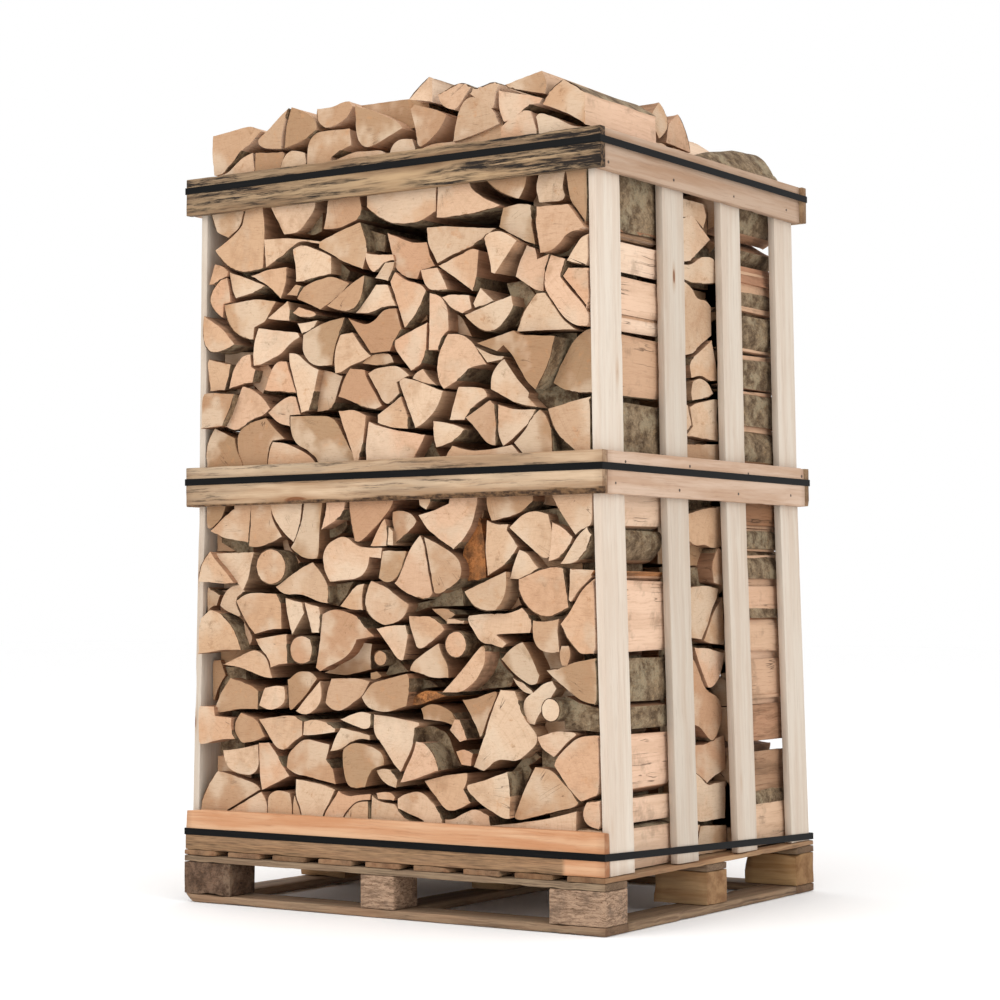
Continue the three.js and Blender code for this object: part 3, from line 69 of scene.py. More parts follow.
class Wire:
    """A value, vector or colour on its way through the nodes of a material"""

    def __init__(self, tree, socket=None):
        self.tree = tree
        self.socket = socket

    def node(self, kind, settings=None, sockets=None, output=0):
        """Adds a node with its settings, then the values or links of its sockets"""
        node = self.tree.nodes.new(kind)
        for name, value in (settings or {}).items():
            setattr(node, name, value)
        for name, value in (sockets or {}).items():
            if isinstance(value, Wire):
                self.tree.links.new(value.socket, node.inputs[name])
            else:
                node.inputs[name].default_value = value
        return Wire(self.tree, node.outputs[output])

    def math(self, operation, *values):
        sockets = dict(enumerate(values))
        return self.node("ShaderNodeMath", {"operation": operation}, sockets)

    def __add__(self, other):
        return self.math("ADD", self, other)

    def __radd__(self, other):
        return self.math("ADD", other, self)

    def __sub__(self, other):
        return self.math("SUBTRACT", self, other)

    def __rsub__(self, other):
        return self.math("SUBTRACT", other, self)

    def __mul__(self, other):
        return self.math("MULTIPLY", self, other)

    def __rmul__(self, other):
        return self.math("MULTIPLY", other, self)

    def clamp(self):
        return self.math("MINIMUM", self.math("MAXIMUM", self, 0.0), 1.0)

    def ramp(self, low, high):
        """0 below low and 1 above high, smooth between"""
        settings = {"interpolation_type": "SMOOTHSTEP"}
        return self.node("ShaderNodeMapRange", settings, {"Value": self, "From Min": low, "From Max": high})

    def tint(self, low, high):
        """A colour between two, by this value"""
        return self.node("ShaderNodeMix", {"data_type": "RGBA"}, {0: self, 6: low, 7: high}, 2)

    def darken(self, colour, by):
        """A colour times another, by this value"""
        settings = {"data_type": "RGBA", "blend_type": "MULTIPLY"}
        return self.node("ShaderNodeMix", settings, {0: self, 6: colour, 7: by}, 2)

    def stretched(self, x, y, z, shift=(0.0, 0.0, 0.0)):
        """The vector times a scale for each axis, after a shift"""
        return self.node("ShaderNodeMapping", None, {"Vector": self, "Location": shift, "Scale": (x, y, z)})

    def bent(self, by):
        """The vector with a value added along each axis"""
        return self.joined(self.split(0) + by, self.split(1) + by, self.split(2) + by)

    def noise(self, scale, detail=3.0, roughness=0.55):
        sockets = {"Vector": self, "Scale": scale, "Detail": detail, "Roughness": roughness}
        return self.node("ShaderNodeTexNoise", None, sockets)

    def cells(self, output):
        """Scattered cells: output 0 is the way to the nearest centre, output 1 a colour for each cell"""
        return self.node("ShaderNodeTexVoronoi", None, {"Vector": self, "Scale": 1.0}, output)

    def split(self, axis):
        return self.node("ShaderNodeSeparateXYZ", None, {"Vector": self}, axis)

    def joined(self, x, y, z):
        return self.node("ShaderNodeCombineXYZ", None, {"X": x, "Y": y, "Z": z})

    def kept_vector(self, name):
        """A vector kept with each point of the mesh"""
        return self.node("ShaderNodeAttribute", {"attribute_name": name}, None, 1)

    def kept_value(self, name):
        """A number kept with each point of the mesh"""
        return self.node("ShaderNodeAttribute", {"attribute_name": name}, None, 2)

    def place(self):
        """The point's own place on the object"""
        return self.node("ShaderNodeTexCoord", None, None, 3)


def rgb(red, green, blue):
    """A colour as it looks on a screen, from 0 to 1, for the shader"""
    return tuple(value ** 2.2 for value in (red, green, blue)) + (1.0,)


def new_material(name):
    """An empty material and the wire that its nodes start from"""
    material = bpy.data.materials.new(name)
    material.use_nodes = True
    tree = material.node_tree
    tree.nodes.clear()
    return material, Wire(tree)


def finished(wire, colour, roughness, height=None, relief=0.5, depth=MM, shine=0.3):
    """Ends a material in one shader, with its relief as bump"""
    sockets = {"Base Color": colour, "Roughness": roughness, "Specular IOR Level": shine}
    if height is not None:
        bump = {"Strength": relief, "Distance": depth, "Height": height}
        sockets["Normal"] = wire.node("ShaderNodeBump", None, bump)
    shader = wire.node("ShaderNodeBsdfPrincipled", None, sockets)
    output = wire.tree.nodes.new("ShaderNodeOutputMaterial")
    wire.tree.links.new(shader.socket, output.inputs["Surface"])


def timber(name, pale, dark, grey=0.0, stain=0.0, knots=6.0, grain=1.0, shade=(0.3, 0.25, 0.2), rot=None):
    """Sawn boards: grain along the first axis of their own coordinates, knots, grey weather and stains"""
    material, wire = new_material(name)
    along = wire.kept_vector("board")
    wavy = along.noise(9.0, 2.0) * 0.010
    lines = wire.joined(along.split(0) * 1.1, along.split(1) + wavy, along.split(2) + wavy)
    bands = lines.stretched(1.6, 34.0, 34.0).noise(1.0, 4.0, 0.6)
    fibres = lines.stretched(5.0, 260.0, 260.0).noise(1.0, 3.0, 0.7)
    colour = bands.ramp(0.36, 0.66).tint(rgb(*pale), rgb(*dark))
    colour = (fibres.ramp(0.5, 0.78) * (0.35 * grain)).darken(colour, rgb(0.62, 0.5, 0.4))

    # Knots are dark ovals with rings that the grain flows round
    apart = along.stretched(knots * 0.55, knots * 2.2, knots * 2.2)
    spot = apart.cells(0)
    chosen = apart.cells(1).split(0).ramp(0.55, 0.56)
    knot = (1.0 - spot.ramp(0.05, 0.075)) * chosen
    halo = (1.0 - spot.ramp(0.06, 0.19)) * chosen
    rings = wire.math("SINE", spot * 260.0) * 0.5 + 0.5
    colour = (halo * 0.45).tint(colour, rgb(dark[0] * 0.86, dark[1] * 0.74, dark[2] * 0.62))
    colour = knot.tint(colour, (rings * 0.5 + 0.2).tint(rgb(0.40, 0.24, 0.15), rgb(0.60, 0.40, 0.26)))

    # Weather: grey patches along the grain and black streaks of mould
    patches = along.stretched(2.4, 13.0, 13.0).noise(1.0, 4.0, 0.6)
    weather = (patches.ramp(0.62 - 0.4 * grey, 0.80 - 0.3 * grey) * grey).clamp()
    colour = (weather * 0.85).tint(colour, fibres.ramp(0.3, 0.7).tint(rgb(*shade), rgb(0.66, 0.57, 0.46)))
    streaks = lines.stretched(5.0, 110.0, 110.0, (3.1, 0.4, 0.2)).noise(1.0, 6.0, 0.74)
    flecks = lines.stretched(16.0, 300.0, 300.0, (1.1, 0.9, 0.2)).noise(1.0, 4.0, 0.7)
    speckled = streaks + flecks * 0.3 - 0.15
    if rot:
        rotten = wire.place().split(0).ramp(*rot)
        speckled = speckled + rotten * 0.045
        patches = patches + rotten * 0.06
    mould = speckled.ramp(0.62 - 0.12 * stain, 0.66) * patches.ramp(0.36, 0.56) * stain
    colour = (mould * 0.9).clamp().tint(colour, rgb(0.15, 0.12, 0.10))

    # Bark that was left on an edge, with a dark line where it starts
    barked = wire.kept_value("bark")
    crust = wire.place().stretched(60.0, 60.0, 120.0).noise(1.0, 5.0, 0.7)
    crust = crust.ramp(0.32, 0.68).tint(rgb(0.20, 0.14, 0.10), rgb(0.52, 0.40, 0.29))
    colour = (barked * 1.6).clamp().tint(colour, crust)

    # Each board has its own shade, and its sawn ends are darker
    shades = []
    for rich, bright in ((1.05, 0.84), (0.97, 1.06)):
        sockets = {"Saturation": rich, "Value": bright, "Color": colour}
        shades.append(wire.node("ShaderNodeHueSaturation", None, sockets))
    colour = wire.kept_value("tint").ramp(0.0, 1.0).tint(*shades)
    colour = (wire.kept_value("worn") * 0.75).clamp().darken(colour, rgb(0.60, 0.50, 0.42))
    saw = along.stretched(420.0, 9.0, 9.0).noise(1.0, 1.0)
    height = bands * 0.35 + fibres * 0.8 - knot * 0.4 - mould * 0.3 + saw * 0.25
    finished(wire, colour, 0.78 - knot * 0.2 + fibres * 0.12, height, 0.55, 0.9 * MM)
    return material


EDGE = 1.6 * MM
BOARD_STEP = 22 * MM
UNEVEN = 0.5 * MM
DARK_END = 3 * MM


def laid(name, data):
    """A new object in the scene"""
    piece = bpy.data.objects.new(name, data)
    bpy.context.scene.collection.objects.link(piece)
    return piece


def stations(length, step, edge):
    """Places along one side of a board: close together at its edges, even between"""
    inner = max(1, round((length - 2 * edge) / step))
    even = [edge + (length - 2 * edge) * i / inner for i in range(inner + 1)]
    return [0.0, edge * 0.3] + even + [length - edge * 0.3, length]


def board_grid(places):
    """The six faces of a board, divided at its places along each axis"""
    bm = bmesh.new()
    made = {}

    def vertex(key):
        if key not in made:
            made[key] = bm.verts.new([places[axis][key[axis]] for axis in range(3)])
        return made[key]

    for axis in range(3):
        one, two = (axis + 1) % 3, (axis + 2) % 3
        for end in (0, len(places[axis]) - 1):
            for i in range(len(places[one]) - 1):
                for j in range(len(places[two]) - 1):
                    ring = []
                    for a, b in ((i, j), (i + 1, j), (i + 1, j + 1), (i, j + 1)):
                        key = [0, 0, 0]
                        key[axis], key[one], key[two] = end, a, b
                        ring.append(vertex(tuple(key)))
                    bm.faces.new(ring if end else ring[::-1])
    return bm


def chipped(p, size, drift, worn):
    """A point of a board moved in where its edges are rounded and chipped"""
    bite = 0.35 + 0.65 * noise.noise(p * 30.0 + drift) * worn
    chip = max(0.0, noise.noise(p * 14.0 + drift * 2.0) - 0.28) * 14.0 * worn
    inner = EDGE * (1.0 + max(0.0, bite) + chip)
    core = Vector([min(max(p[axis], inner), size[axis] - inner) for axis in range(3)])
    off = p - core
    on_edge = sum(1 for axis in range(3) if abs(off[axis]) > 1e-6) > 1
    return core + off.normalized() * inner * min(1.0, off.length / inner) if on_edge else p


def board_mesh(name, low, high, run, seed, worn=1.0, wane=None, shape=None, fine=0.7):
    """A rough board: rounded and chipped edges, slightly uneven faces, its grain along one axis"""
    low, high = Vector(low), Vector(high)
    size = high - low
    across = [axis for axis in range(3) if axis != run]
    bm = board_grid([stations(size[axis], BOARD_STEP * (1.0 if axis == run else fine), EDGE)
                     for axis in range(3)])
    rng = random.Random(seed)
    drift = Vector([rng.uniform(0, 50) for _ in range(3)])
    board = bm.verts.layers.float_vector.new("board")
    tint, dull, rind = (bm.verts.layers.float.new(label) for label in ("tint", "worn", "bark"))
    shade = rng.random()
    for v in bm.verts:
        p = v.co.copy()
        v[board] = Vector((p[run], p[across[0]], p[across[1]])) + drift
        v[tint] = shade
        reach = min(p[run], size[run] - p[run])
        v[dull] = max(0.0, 1.0 - reach / DARK_END) * 0.8
        p = chipped(p, size, drift, worn)
        rough = (noise.noise(v.co * 22.0 + drift) * 0.5 + 0.5) * UNEVEN * worn
        for axis in across:
            p[axis] += rough if p[axis] < size[axis] / 2 else -rough
        if wane:
            p, v[rind] = wane(p, size)
        v.co = p + low
        if shape:
            v.co = shape(v.co)
    mesh = bpy.data.meshes.new(name)
    bm.to_mesh(mesh)
    bm.free()
    mesh.shade_smooth()
    mesh.set_sharp_from_angle(angle=math.radians(38))
    return laid(name, mesh)


def dressed(piece, material, slot, *nodes):
    """A finished piece in its material, riding on the pallet in place of its nodes"""
    if material:
        piece.data.materials.append(material)
    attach(piece, "root")
    if nodes:
        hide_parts(*nodes)
    return piece


def replaced_board(node, run, material, slot, seed, **how):
    low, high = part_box(node)
    piece = board_mesh(f"{node}_timber", low, high, run, seed, **how)
    return dressed(piece, material, slot, node)


base_wood = timber("weathered base timber", (0.66, 0.53, 0.42), (0.50, 0.38, 0.29), 0.75, 0.45,
                   shade=(0.36, 0.29, 0.24))
stringer_wood = timber("grey stringer timber", (0.62, 0.52, 0.42), (0.46, 0.36, 0.28), 0.8, 0.6,
                       shade=(0.33, 0.27, 0.22))
deck_wood = timber("deck timber", (0.72, 0.58, 0.44), (0.58, 0.43, 0.31), 0.55, 0.4)
WORN_CORNER = 26 * MM
WORN_IN, WORN_BACK, WORN_UP = 9 * MM, 6 * MM, 5 * MM


def worn_corner(p, size):
    """The front board's lower left corner is rounded off by dragging"""
    reach = WORN_CORNER - math.hypot(p.x, p.z)
    if reach > 0:
        push = reach / WORN_CORNER
        p.x += WORN_IN * push
        p.z += WORN_UP * push
        p.y += WORN_BACK * push if p.y < size.y / 2 else 0
    return p, 0.0


for i, side in enumerate(("front", "back")):
    replaced_board(f"base_board_{side}", 0, base_wood, "base_timber", 11 + i, worn=1.6,
                   wane=worn_corner if side == "front" else None)
for i, side in enumerate(("left", "right", "centre")):
    replaced_board(f"base_board_{side}", 1, base_wood, "base_timber", 14 + i, worn=1.4)
for i, row in enumerate(("front", "middle", "back")):
    replaced_board(f"stringer_{row}", 0, stringer_wood, "stringer_timber", 21 + i, worn=1.3)
for i in range(9):
    replaced_board(f"deck_board_{i + 1}", 1, deck_wood, "deck_timber", 31 + i, worn=1.2)

# Blocks
# Nine spacer blocks: sawn offcuts with their grain along the length, and in front two of pressed
# wood chips and one with dark bark left on its face.


def pressed_wood(name, pale, dark):
    """Chips of wood pressed with glue: pale and dark flecks in a grey-brown ground"""
    material, wire = new_material(name)
    place = wire.place()
    swirled = place.bent(place.noise(45.0, 3.0) * 0.012)
    chips = swirled.stretched(26.0, 60.0, 230.0).noise(1.0, 4.0, 0.75)
    small = swirled.stretched(110.0, 180.0, 520.0).noise(1.0, 3.0, 0.8)
    dust_and_shade = place.noise(16.0, 4.0, 0.6)
    colour = chips.ramp(0.36, 0.62).tint(rgb(*dark), rgb(*pale))
    colour = (small.ramp(0.56, 0.70) * 0.55).tint(colour, rgb(0.74, 0.63, 0.52))
    colour = (1.0 - small.ramp(0.34, 0.46)).darken(colour, rgb(0.62, 0.52, 0.45))
    colour = (dust_and_shade.ramp(0.5, 0.66) * 0.6).tint(colour, rgb(0.40, 0.33, 0.28))
    finished(wire, colour, 0.9, chips + small * 0.8, 0.9, 2.0 * MM)
    return material


def bark_face(name, pale, dark, moss=0.25):
    """Rough bark: plates, dark furrows and grey-green lichen"""
    material, wire = new_material(name)
    place = wire.place()
    warped = place.bent(place.noise(40.0, 3.0) * 0.016)
    ridges = warped.stretched(55.0, 55.0, 150.0).noise(1.0, 5.0, 0.72)
    mottle = place.noise(26.0, 5.0, 0.7)
    fine = place.noise(230.0, 4.0, 0.75)
    colour = mottle.ramp(0.36, 0.62).tint(rgb(*dark), rgb(*pale))
    darker = rgb(dark[0] * 0.8, dark[1] * 0.78, dark[2] * 0.76)
    colour = (fine.ramp(0.44, 0.66) * 0.5).tint(colour, darker)
    colour = (ridges.ramp(0.5, 0.72) * 0.5).tint(colour, rgb(pale[0] * 1.12, pale[1] * 1.08, pale[2]))
    lichen = place.noise(13.0, 5.0, 0.75).ramp(0.50, 0.60) * fine.ramp(0.36, 0.52)
    colour = (lichen * moss * 2.0).clamp().tint(colour, rgb(0.63, 0.62, 0.52))
    furrow = 1.0 - ridges.ramp(0.26, 0.42)
    colour = (furrow * 0.7).clamp().darken(colour, rgb(0.34, 0.27, 0.22))
    finished(wire, colour, 0.92, mottle + fine * 0.6 + ridges * 1.4, 0.85, 2.2 * MM)
    return material


pressed = pressed_wood("pressed chips", (0.70, 0.58, 0.48), (0.47, 0.375, 0.30))
block_wood = timber("yellow block timber", (0.78, 0.64, 0.47), (0.64, 0.49, 0.34), 0.35, 0.25)
block_bark = bark_face("block bark", (0.47, 0.37, 0.30), (0.27, 0.20, 0.15), 0.05)
for i, row in enumerate(("front", "middle", "back")):
    for j, column in enumerate(("left", "centre", "right")):
        node = f"block_{row}_{column}"
        if row != "front":
            skin, slot = block_wood, "block_timber"
        elif column == "left":
            skin, slot = block_bark, "block_bark"
        else:
            skin, slot = pressed, "block_pressed"
        replaced_board(node, 0, skin, slot, 51 + 3 * i + j, worn=1.8)

# Crate rails
# Sawn boards round the crate at three heights. The front ones are the full length, the side ones
# fit between them. The top front board is old and black with mould, the middle one has bark left
# along its lower edge, the bottom one is fresh above the strap and weathered below it.

WANE_REACH = 17 * MM
BARK_FULL = 3 * MM
GRIME_TOP = (160 * MM, 172 * MM)
FRESH_END = (485 * MM, 500 * MM)


def barked_edge(p, size):
    """Bark was left along the lower edge: it thins toward the left"""
    along = p.x / size.x
    depth = WANE_REACH * (0.25 + 0.75 * along) * (0.9 + 0.5 * noise.noise(Vector((p.x * 9.0, 0.0, 3.0))))
    rise = depth - p.z
    if rise < 0 or p.y > size.y / 2:
        return p, 0.0
    p.y += 0.5 * rise * (1.0 + 0.3 * noise.noise(p * 60.0))
    return p, min(1.0, rise / BARK_FULL)


def front_timber(name, upper, lower, **how):
    """A board that is grimy below the strap, but fresh to its foot at the right end"""
    material = timber(name, *upper, **how)
    wire = Wire(material.node_tree)
    shader = next(n for n in material.node_tree.nodes if n.type == "BSDF_PRINCIPLED")
    colour = Wire(material.node_tree, shader.inputs["Base Color"].links[0].from_socket)
    place = wire.place()
    patch = place.stretched(5.0, 5.0, 40.0).noise(1.0, 4.0, 0.6)
    low = (1.0 - place.split(2).ramp(*GRIME_TOP)) * (1.0 - place.split(0).ramp(*FRESH_END))
    grime = (low * (patch * 0.9 + 0.45)).clamp()
    streak = place.stretched(14.0, 14.0, 330.0).noise(1.0, 4.0, 0.65)
    mixed = grime.tint(colour, streak.ramp(0.3, 0.7).tint(rgb(*lower[0]), rgb(*lower[1])))
    material.node_tree.links.new(mixed.socket, shader.inputs["Base Color"])
    return material


top_wood = timber("black weathered timber", (0.72, 0.60, 0.46), (0.50, 0.39, 0.29), 0.6, 1.5, 3.0,
                  shade=(0.28, 0.22, 0.17), rot=(-0.1, 0.5))
middle_wood = timber("blue stained timber", (0.85, 0.74, 0.62), (0.68, 0.55, 0.43), 0.5, 0.75, 3.5,
                     shade=(0.42, 0.38, 0.34))
bottom_wood = front_timber("fresh and grimy timber", ((0.87, 0.70, 0.56), (0.79, 0.57, 0.42)),
                           ((0.36, 0.28, 0.21), (0.62, 0.49, 0.36)), stain=0.1, knots=3.0)
back_wood = timber("back rail timber", (0.76, 0.64, 0.50), (0.60, 0.48, 0.36), 0.55, 0.45, 4.0)
side_wood = timber("clean side timber", (0.765, 0.66, 0.575), (0.69, 0.56, 0.46), 0.06, 0.1, 4.0)
front_skins = {"bottom": bottom_wood, "middle": middle_wood, "top": top_wood}
for i, level in enumerate(("bottom", "middle", "top")):
    replaced_board(f"front_rail_{level}", 0, front_skins[level], f"rail_{level}_timber", 61 + i, worn=1.3,
                   wane=barked_edge if level == "middle" else None, fine=0.18 if level == "middle" else 0.7)
    replaced_board(f"back_rail_{level}", 0, back_wood, "rail_back_timber", 64 + i, worn=1.2)
for i, level in enumerate(("middle", "top")):
    for j, side in enumerate(("left", "right")):
        replaced_board(f"side_rail_{side}_{level}", 1, side_wood, "side_rail_timber", 67 + 2 * i + j,
                       worn=0.8)

# Slats
# Four upright planed spruce boards on either side, nailed behind the side rails. They lean out
# a little toward the pallet, as the crate's sides do.

slat_wood = timber("planed spruce", (0.82, 0.77, 0.71), (0.785, 0.715, 0.645), 0.05, 0.04, 7.0, 0.7)
SLAT_THICK = 19 * MM
SLAT_END = 5 * MM
WALL_TOP_HALF = 550.5 * MM
WALL_TOP_HEIGHT = 1650 * MM
WALL_BEND_HEIGHT = 941.7 * MM
WALL_LEAN = 0.0113
WALL_FOOT_LEAN = 0.0138


def wall_half(z):
    """Half the crate's inside width at a height"""
    foot = WALL_FOOT_LEAN * max(0.0, WALL_BEND_HEIGHT - z)
    return WALL_TOP_HALF + WALL_LEAN * (WALL_TOP_HEIGHT - z) + foot


def leaning(node, side):
    """The upright box of a slat, and how it leans and bends with the wall and turns in its plane"""
    points = [v.co for v in bpy.data.objects[node].data.vertices]
    foot_z, head_z = min(p.z for p in points), max(p.z for p in points)
    feet = [p.y for p in points if p.z < foot_z + SLAT_END]
    heads = [p.y for p in points if p.z > head_z - SLAT_END]
    turn = (min(heads) - min(feet)) / (head_z - foot_z)
    start = wall_half(foot_z)
    inner, outer = side * start, side * (start + SLAT_THICK)
    low = Vector((min(inner, outer), min(feet), foot_z))
    high = Vector((max(inner, outer), max(feet), head_z))

    def shape(p):
        p.x += side * (wall_half(p.z) - start)
        p.y += turn * (p.z - foot_z)
        return p

    return low, high, shape


for j, side in enumerate(("left", "right")):
    for i in range(4):
        node = f"slat_{side}_{i + 1}"
        low, high, shape = leaning(node, 1 if side == "right" else -1)
        slat = board_mesh(f"{node}_timber", low, high, 2, 81 + 4 * j + i, worn=0.5, shape=shape)
        dressed(slat, slat_wood, "slat_timber", node)

# Straps
# Three bands of black plastic pulled tight round the rails and welded at the back. The lowest
# slips down toward the far right corner.


def strap_plastic():
    """Ribbed black polypropylene with fine scuffs along it"""
    material, wire = new_material("black strap")
    place = wire.place()
    scuff = place.stretched(8.0, 8.0, 400.0).noise(1.0, 3.0)
    weave = wire.math("SINE", (place.split(0) + place.split(1)) * 2200.0)
    colour = scuff.ramp(0.45, 0.75).tint(rgb(0.02, 0.02, 0.025), rgb(0.09, 0.085, 0.085))
    finished(wire, colour, 0.45 + scuff * 0.15, weave * 0.3 + scuff, 0.25, 0.3 * MM, 0.12)
    return material


strap_skin = strap_plastic()
for level in ("bottom", "middle", "top"):
    band = bpy.data.objects[f"strap_{level}"]
    for skin in band.material_slots:
        skin.material = strap_skin

# Nails
# Flat steel heads, a pair at every crossing of a slat with the side rails, driven in until they
# sit just proud of the timber.

NAIL_RADIUS = 3.2 * MM
NAIL_HEIGHT = 0.5 * MM
NAIL_SPREAD = 26 * MM
NAIL_RISE = 0.28
NAIL_STRAY = 6 * MM
NAIL_SIDES = 14
NAIL_SIZES = (0.85, 1.1)


def nail_steel():
    """Dull zinc with brown rust"""
    material, wire = new_material("nail steel")
    place = wire.place()
    rust = place.noise(700.0, 3.0, 0.7).ramp(0.4, 0.65)
    colour = rust.tint(rgb(0.36, 0.33, 0.30), rgb(0.26, 0.17, 0.11))
    finished(wire, colour, 0.55 + rust * 0.25, rust, 0.4, 0.2 * MM)
    return material


def nail_group():
    """Puts a head with a random size at every point, facing the way kept with the point"""
    group = bpy.data.node_groups.new("nail heads", "GeometryNodeTree")
    sockets = {}
    for name, kind in (("Geometry", "NodeSocketGeometry"), ("Radius", "NodeSocketFloat"),
                       ("Height", "NodeSocketFloat"), ("Seed", "NodeSocketInt"),
                       ("Material", "NodeSocketMaterial")):
        sockets[name] = group.interface.new_socket(name, in_out="INPUT", socket_type=kind)
    group.interface.new_socket("Geometry", in_out="OUTPUT", socket_type="NodeSocketGeometry")
    nodes, links = group.nodes, group.links
    source, result = nodes.new("NodeGroupInput"), nodes.new("NodeGroupOutput")
    head = nodes.new("GeometryNodeMeshCylinder")
    head.inputs["Vertices"].default_value = NAIL_SIDES
    scatter = nodes.new("GeometryNodeInstanceOnPoints")
    facing = nodes.new("GeometryNodeInputNamedAttribute")
    facing.data_type = "FLOAT_VECTOR"
    facing.inputs["Name"].default_value = "facing"
    turned = nodes.new("FunctionNodeAlignRotationToVector")
    turned.axis = "Z"
    sizes = nodes.new("FunctionNodeRandomValue")
    sizes.data_type = "FLOAT"
    sizes.inputs[2].default_value, sizes.inputs[3].default_value = NAIL_SIZES
    real, painted = nodes.new("GeometryNodeRealizeInstances"), nodes.new("GeometryNodeSetMaterial")
    for one, output, other, socket in (
            (source, "Radius", head, "Radius"), (source, "Height", head, "Depth"),
            (source, "Seed", sizes, "Seed"), (source, "Geometry", scatter, "Points"),
            (head, "Mesh", scatter, "Instance"), (facing, "Attribute", turned, "Vector"),
            (turned, "Rotation", scatter, "Rotation"), (sizes, 1, scatter, "Scale"),
            (scatter, "Instances", real, "Geometry"), (real, "Geometry", painted, "Geometry"),
            (source, "Material", painted, "Material"), (painted, "Geometry", result, "Geometry")):
        links.new(one.outputs[output], other.inputs[socket])
    return group, {name: socket.identifier for name, socket in sockets.items()}


def nailed(name, places, slot):
    """One mesh of nail heads at places, each a point and the way it faces"""
    mesh = bpy.data.meshes.new(f"{name}_points")
    mesh.from_pydata([point for point, _ in places], [], [])
    facing = mesh.attributes.new("facing", "FLOAT_VECTOR", "POINT")
    facing.data.foreach_set("vector", [value for _, way in places for value in way])
    seeds = laid(f"{name}_points", mesh)
    maker = seeds.modifiers.new("heads", "NODES")
    maker.node_group = heads
    maker[head_inputs["Radius"]] = NAIL_RADIUS
    maker[head_inputs["Height"]] = NAIL_HEIGHT * 2
    maker[head_inputs["Seed"]] = 3
    maker[head_inputs["Material"]] = steel
    graph = bpy.context.evaluated_depsgraph_get()
    made = bpy.data.meshes.new_from_object(seeds.evaluated_get(graph), depsgraph=graph)
    seeds.modifiers.clear()
    bpy.data.objects.remove(seeds)
    dressed(laid(name, made), None, slot)


steel = nail_steel()
heads, head_inputs = nail_group()
rng = random.Random(33)
places = []
for side, turn in (("left", -1), ("right", 1)):
    for level in ("middle", "top"):
        low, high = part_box(f"side_rail_{side}_{level}")
        face = high.x if turn > 0 else low.x
        for number in range(1, 5):
            slat_low, slat_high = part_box(f"slat_{side}_{number}")
            for up in (-1, 1):
                y = (slat_low.y + slat_high.y) / 2 + up * NAIL_SPREAD + rng.uniform(-1, 1) * NAIL_STRAY
                z = (low.z + high.z) / 2 + up * NAIL_RISE * (high.z - low.z) + rng.uniform(-1, 1) * NAIL_STRAY
                places.append(((face, y, z), (turn, 0.0, 0.0)))
nailed("side_nails", places, "side_rail_timber")

# Firewood
# Split beech logs cut to a stove's length. The front and back rows show their sawn ends, the
# middle row lies crosswise, and the last logs are heaped on top above the rails.

ROW_FACE = 474 * MM
SIDE_FACE = 544 * MM
LOG_LONG = 313 * MM
LOG_CLEAR = 3 * MM
# Where the ends were sighted from: an end that stands out is moved along that line
SIGHT = (3.323, 0.721)
SIGHT_RANGE = 4.48
RAIL_HEIGHTS = [(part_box(f"front_rail_{level}")[0].z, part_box(f"front_rail_{level}")[1].z)
                for level in ("bottom", "middle", "top")]
SAWN, SPLIT, BARK, RIM, TORN, SIDE = range(6)
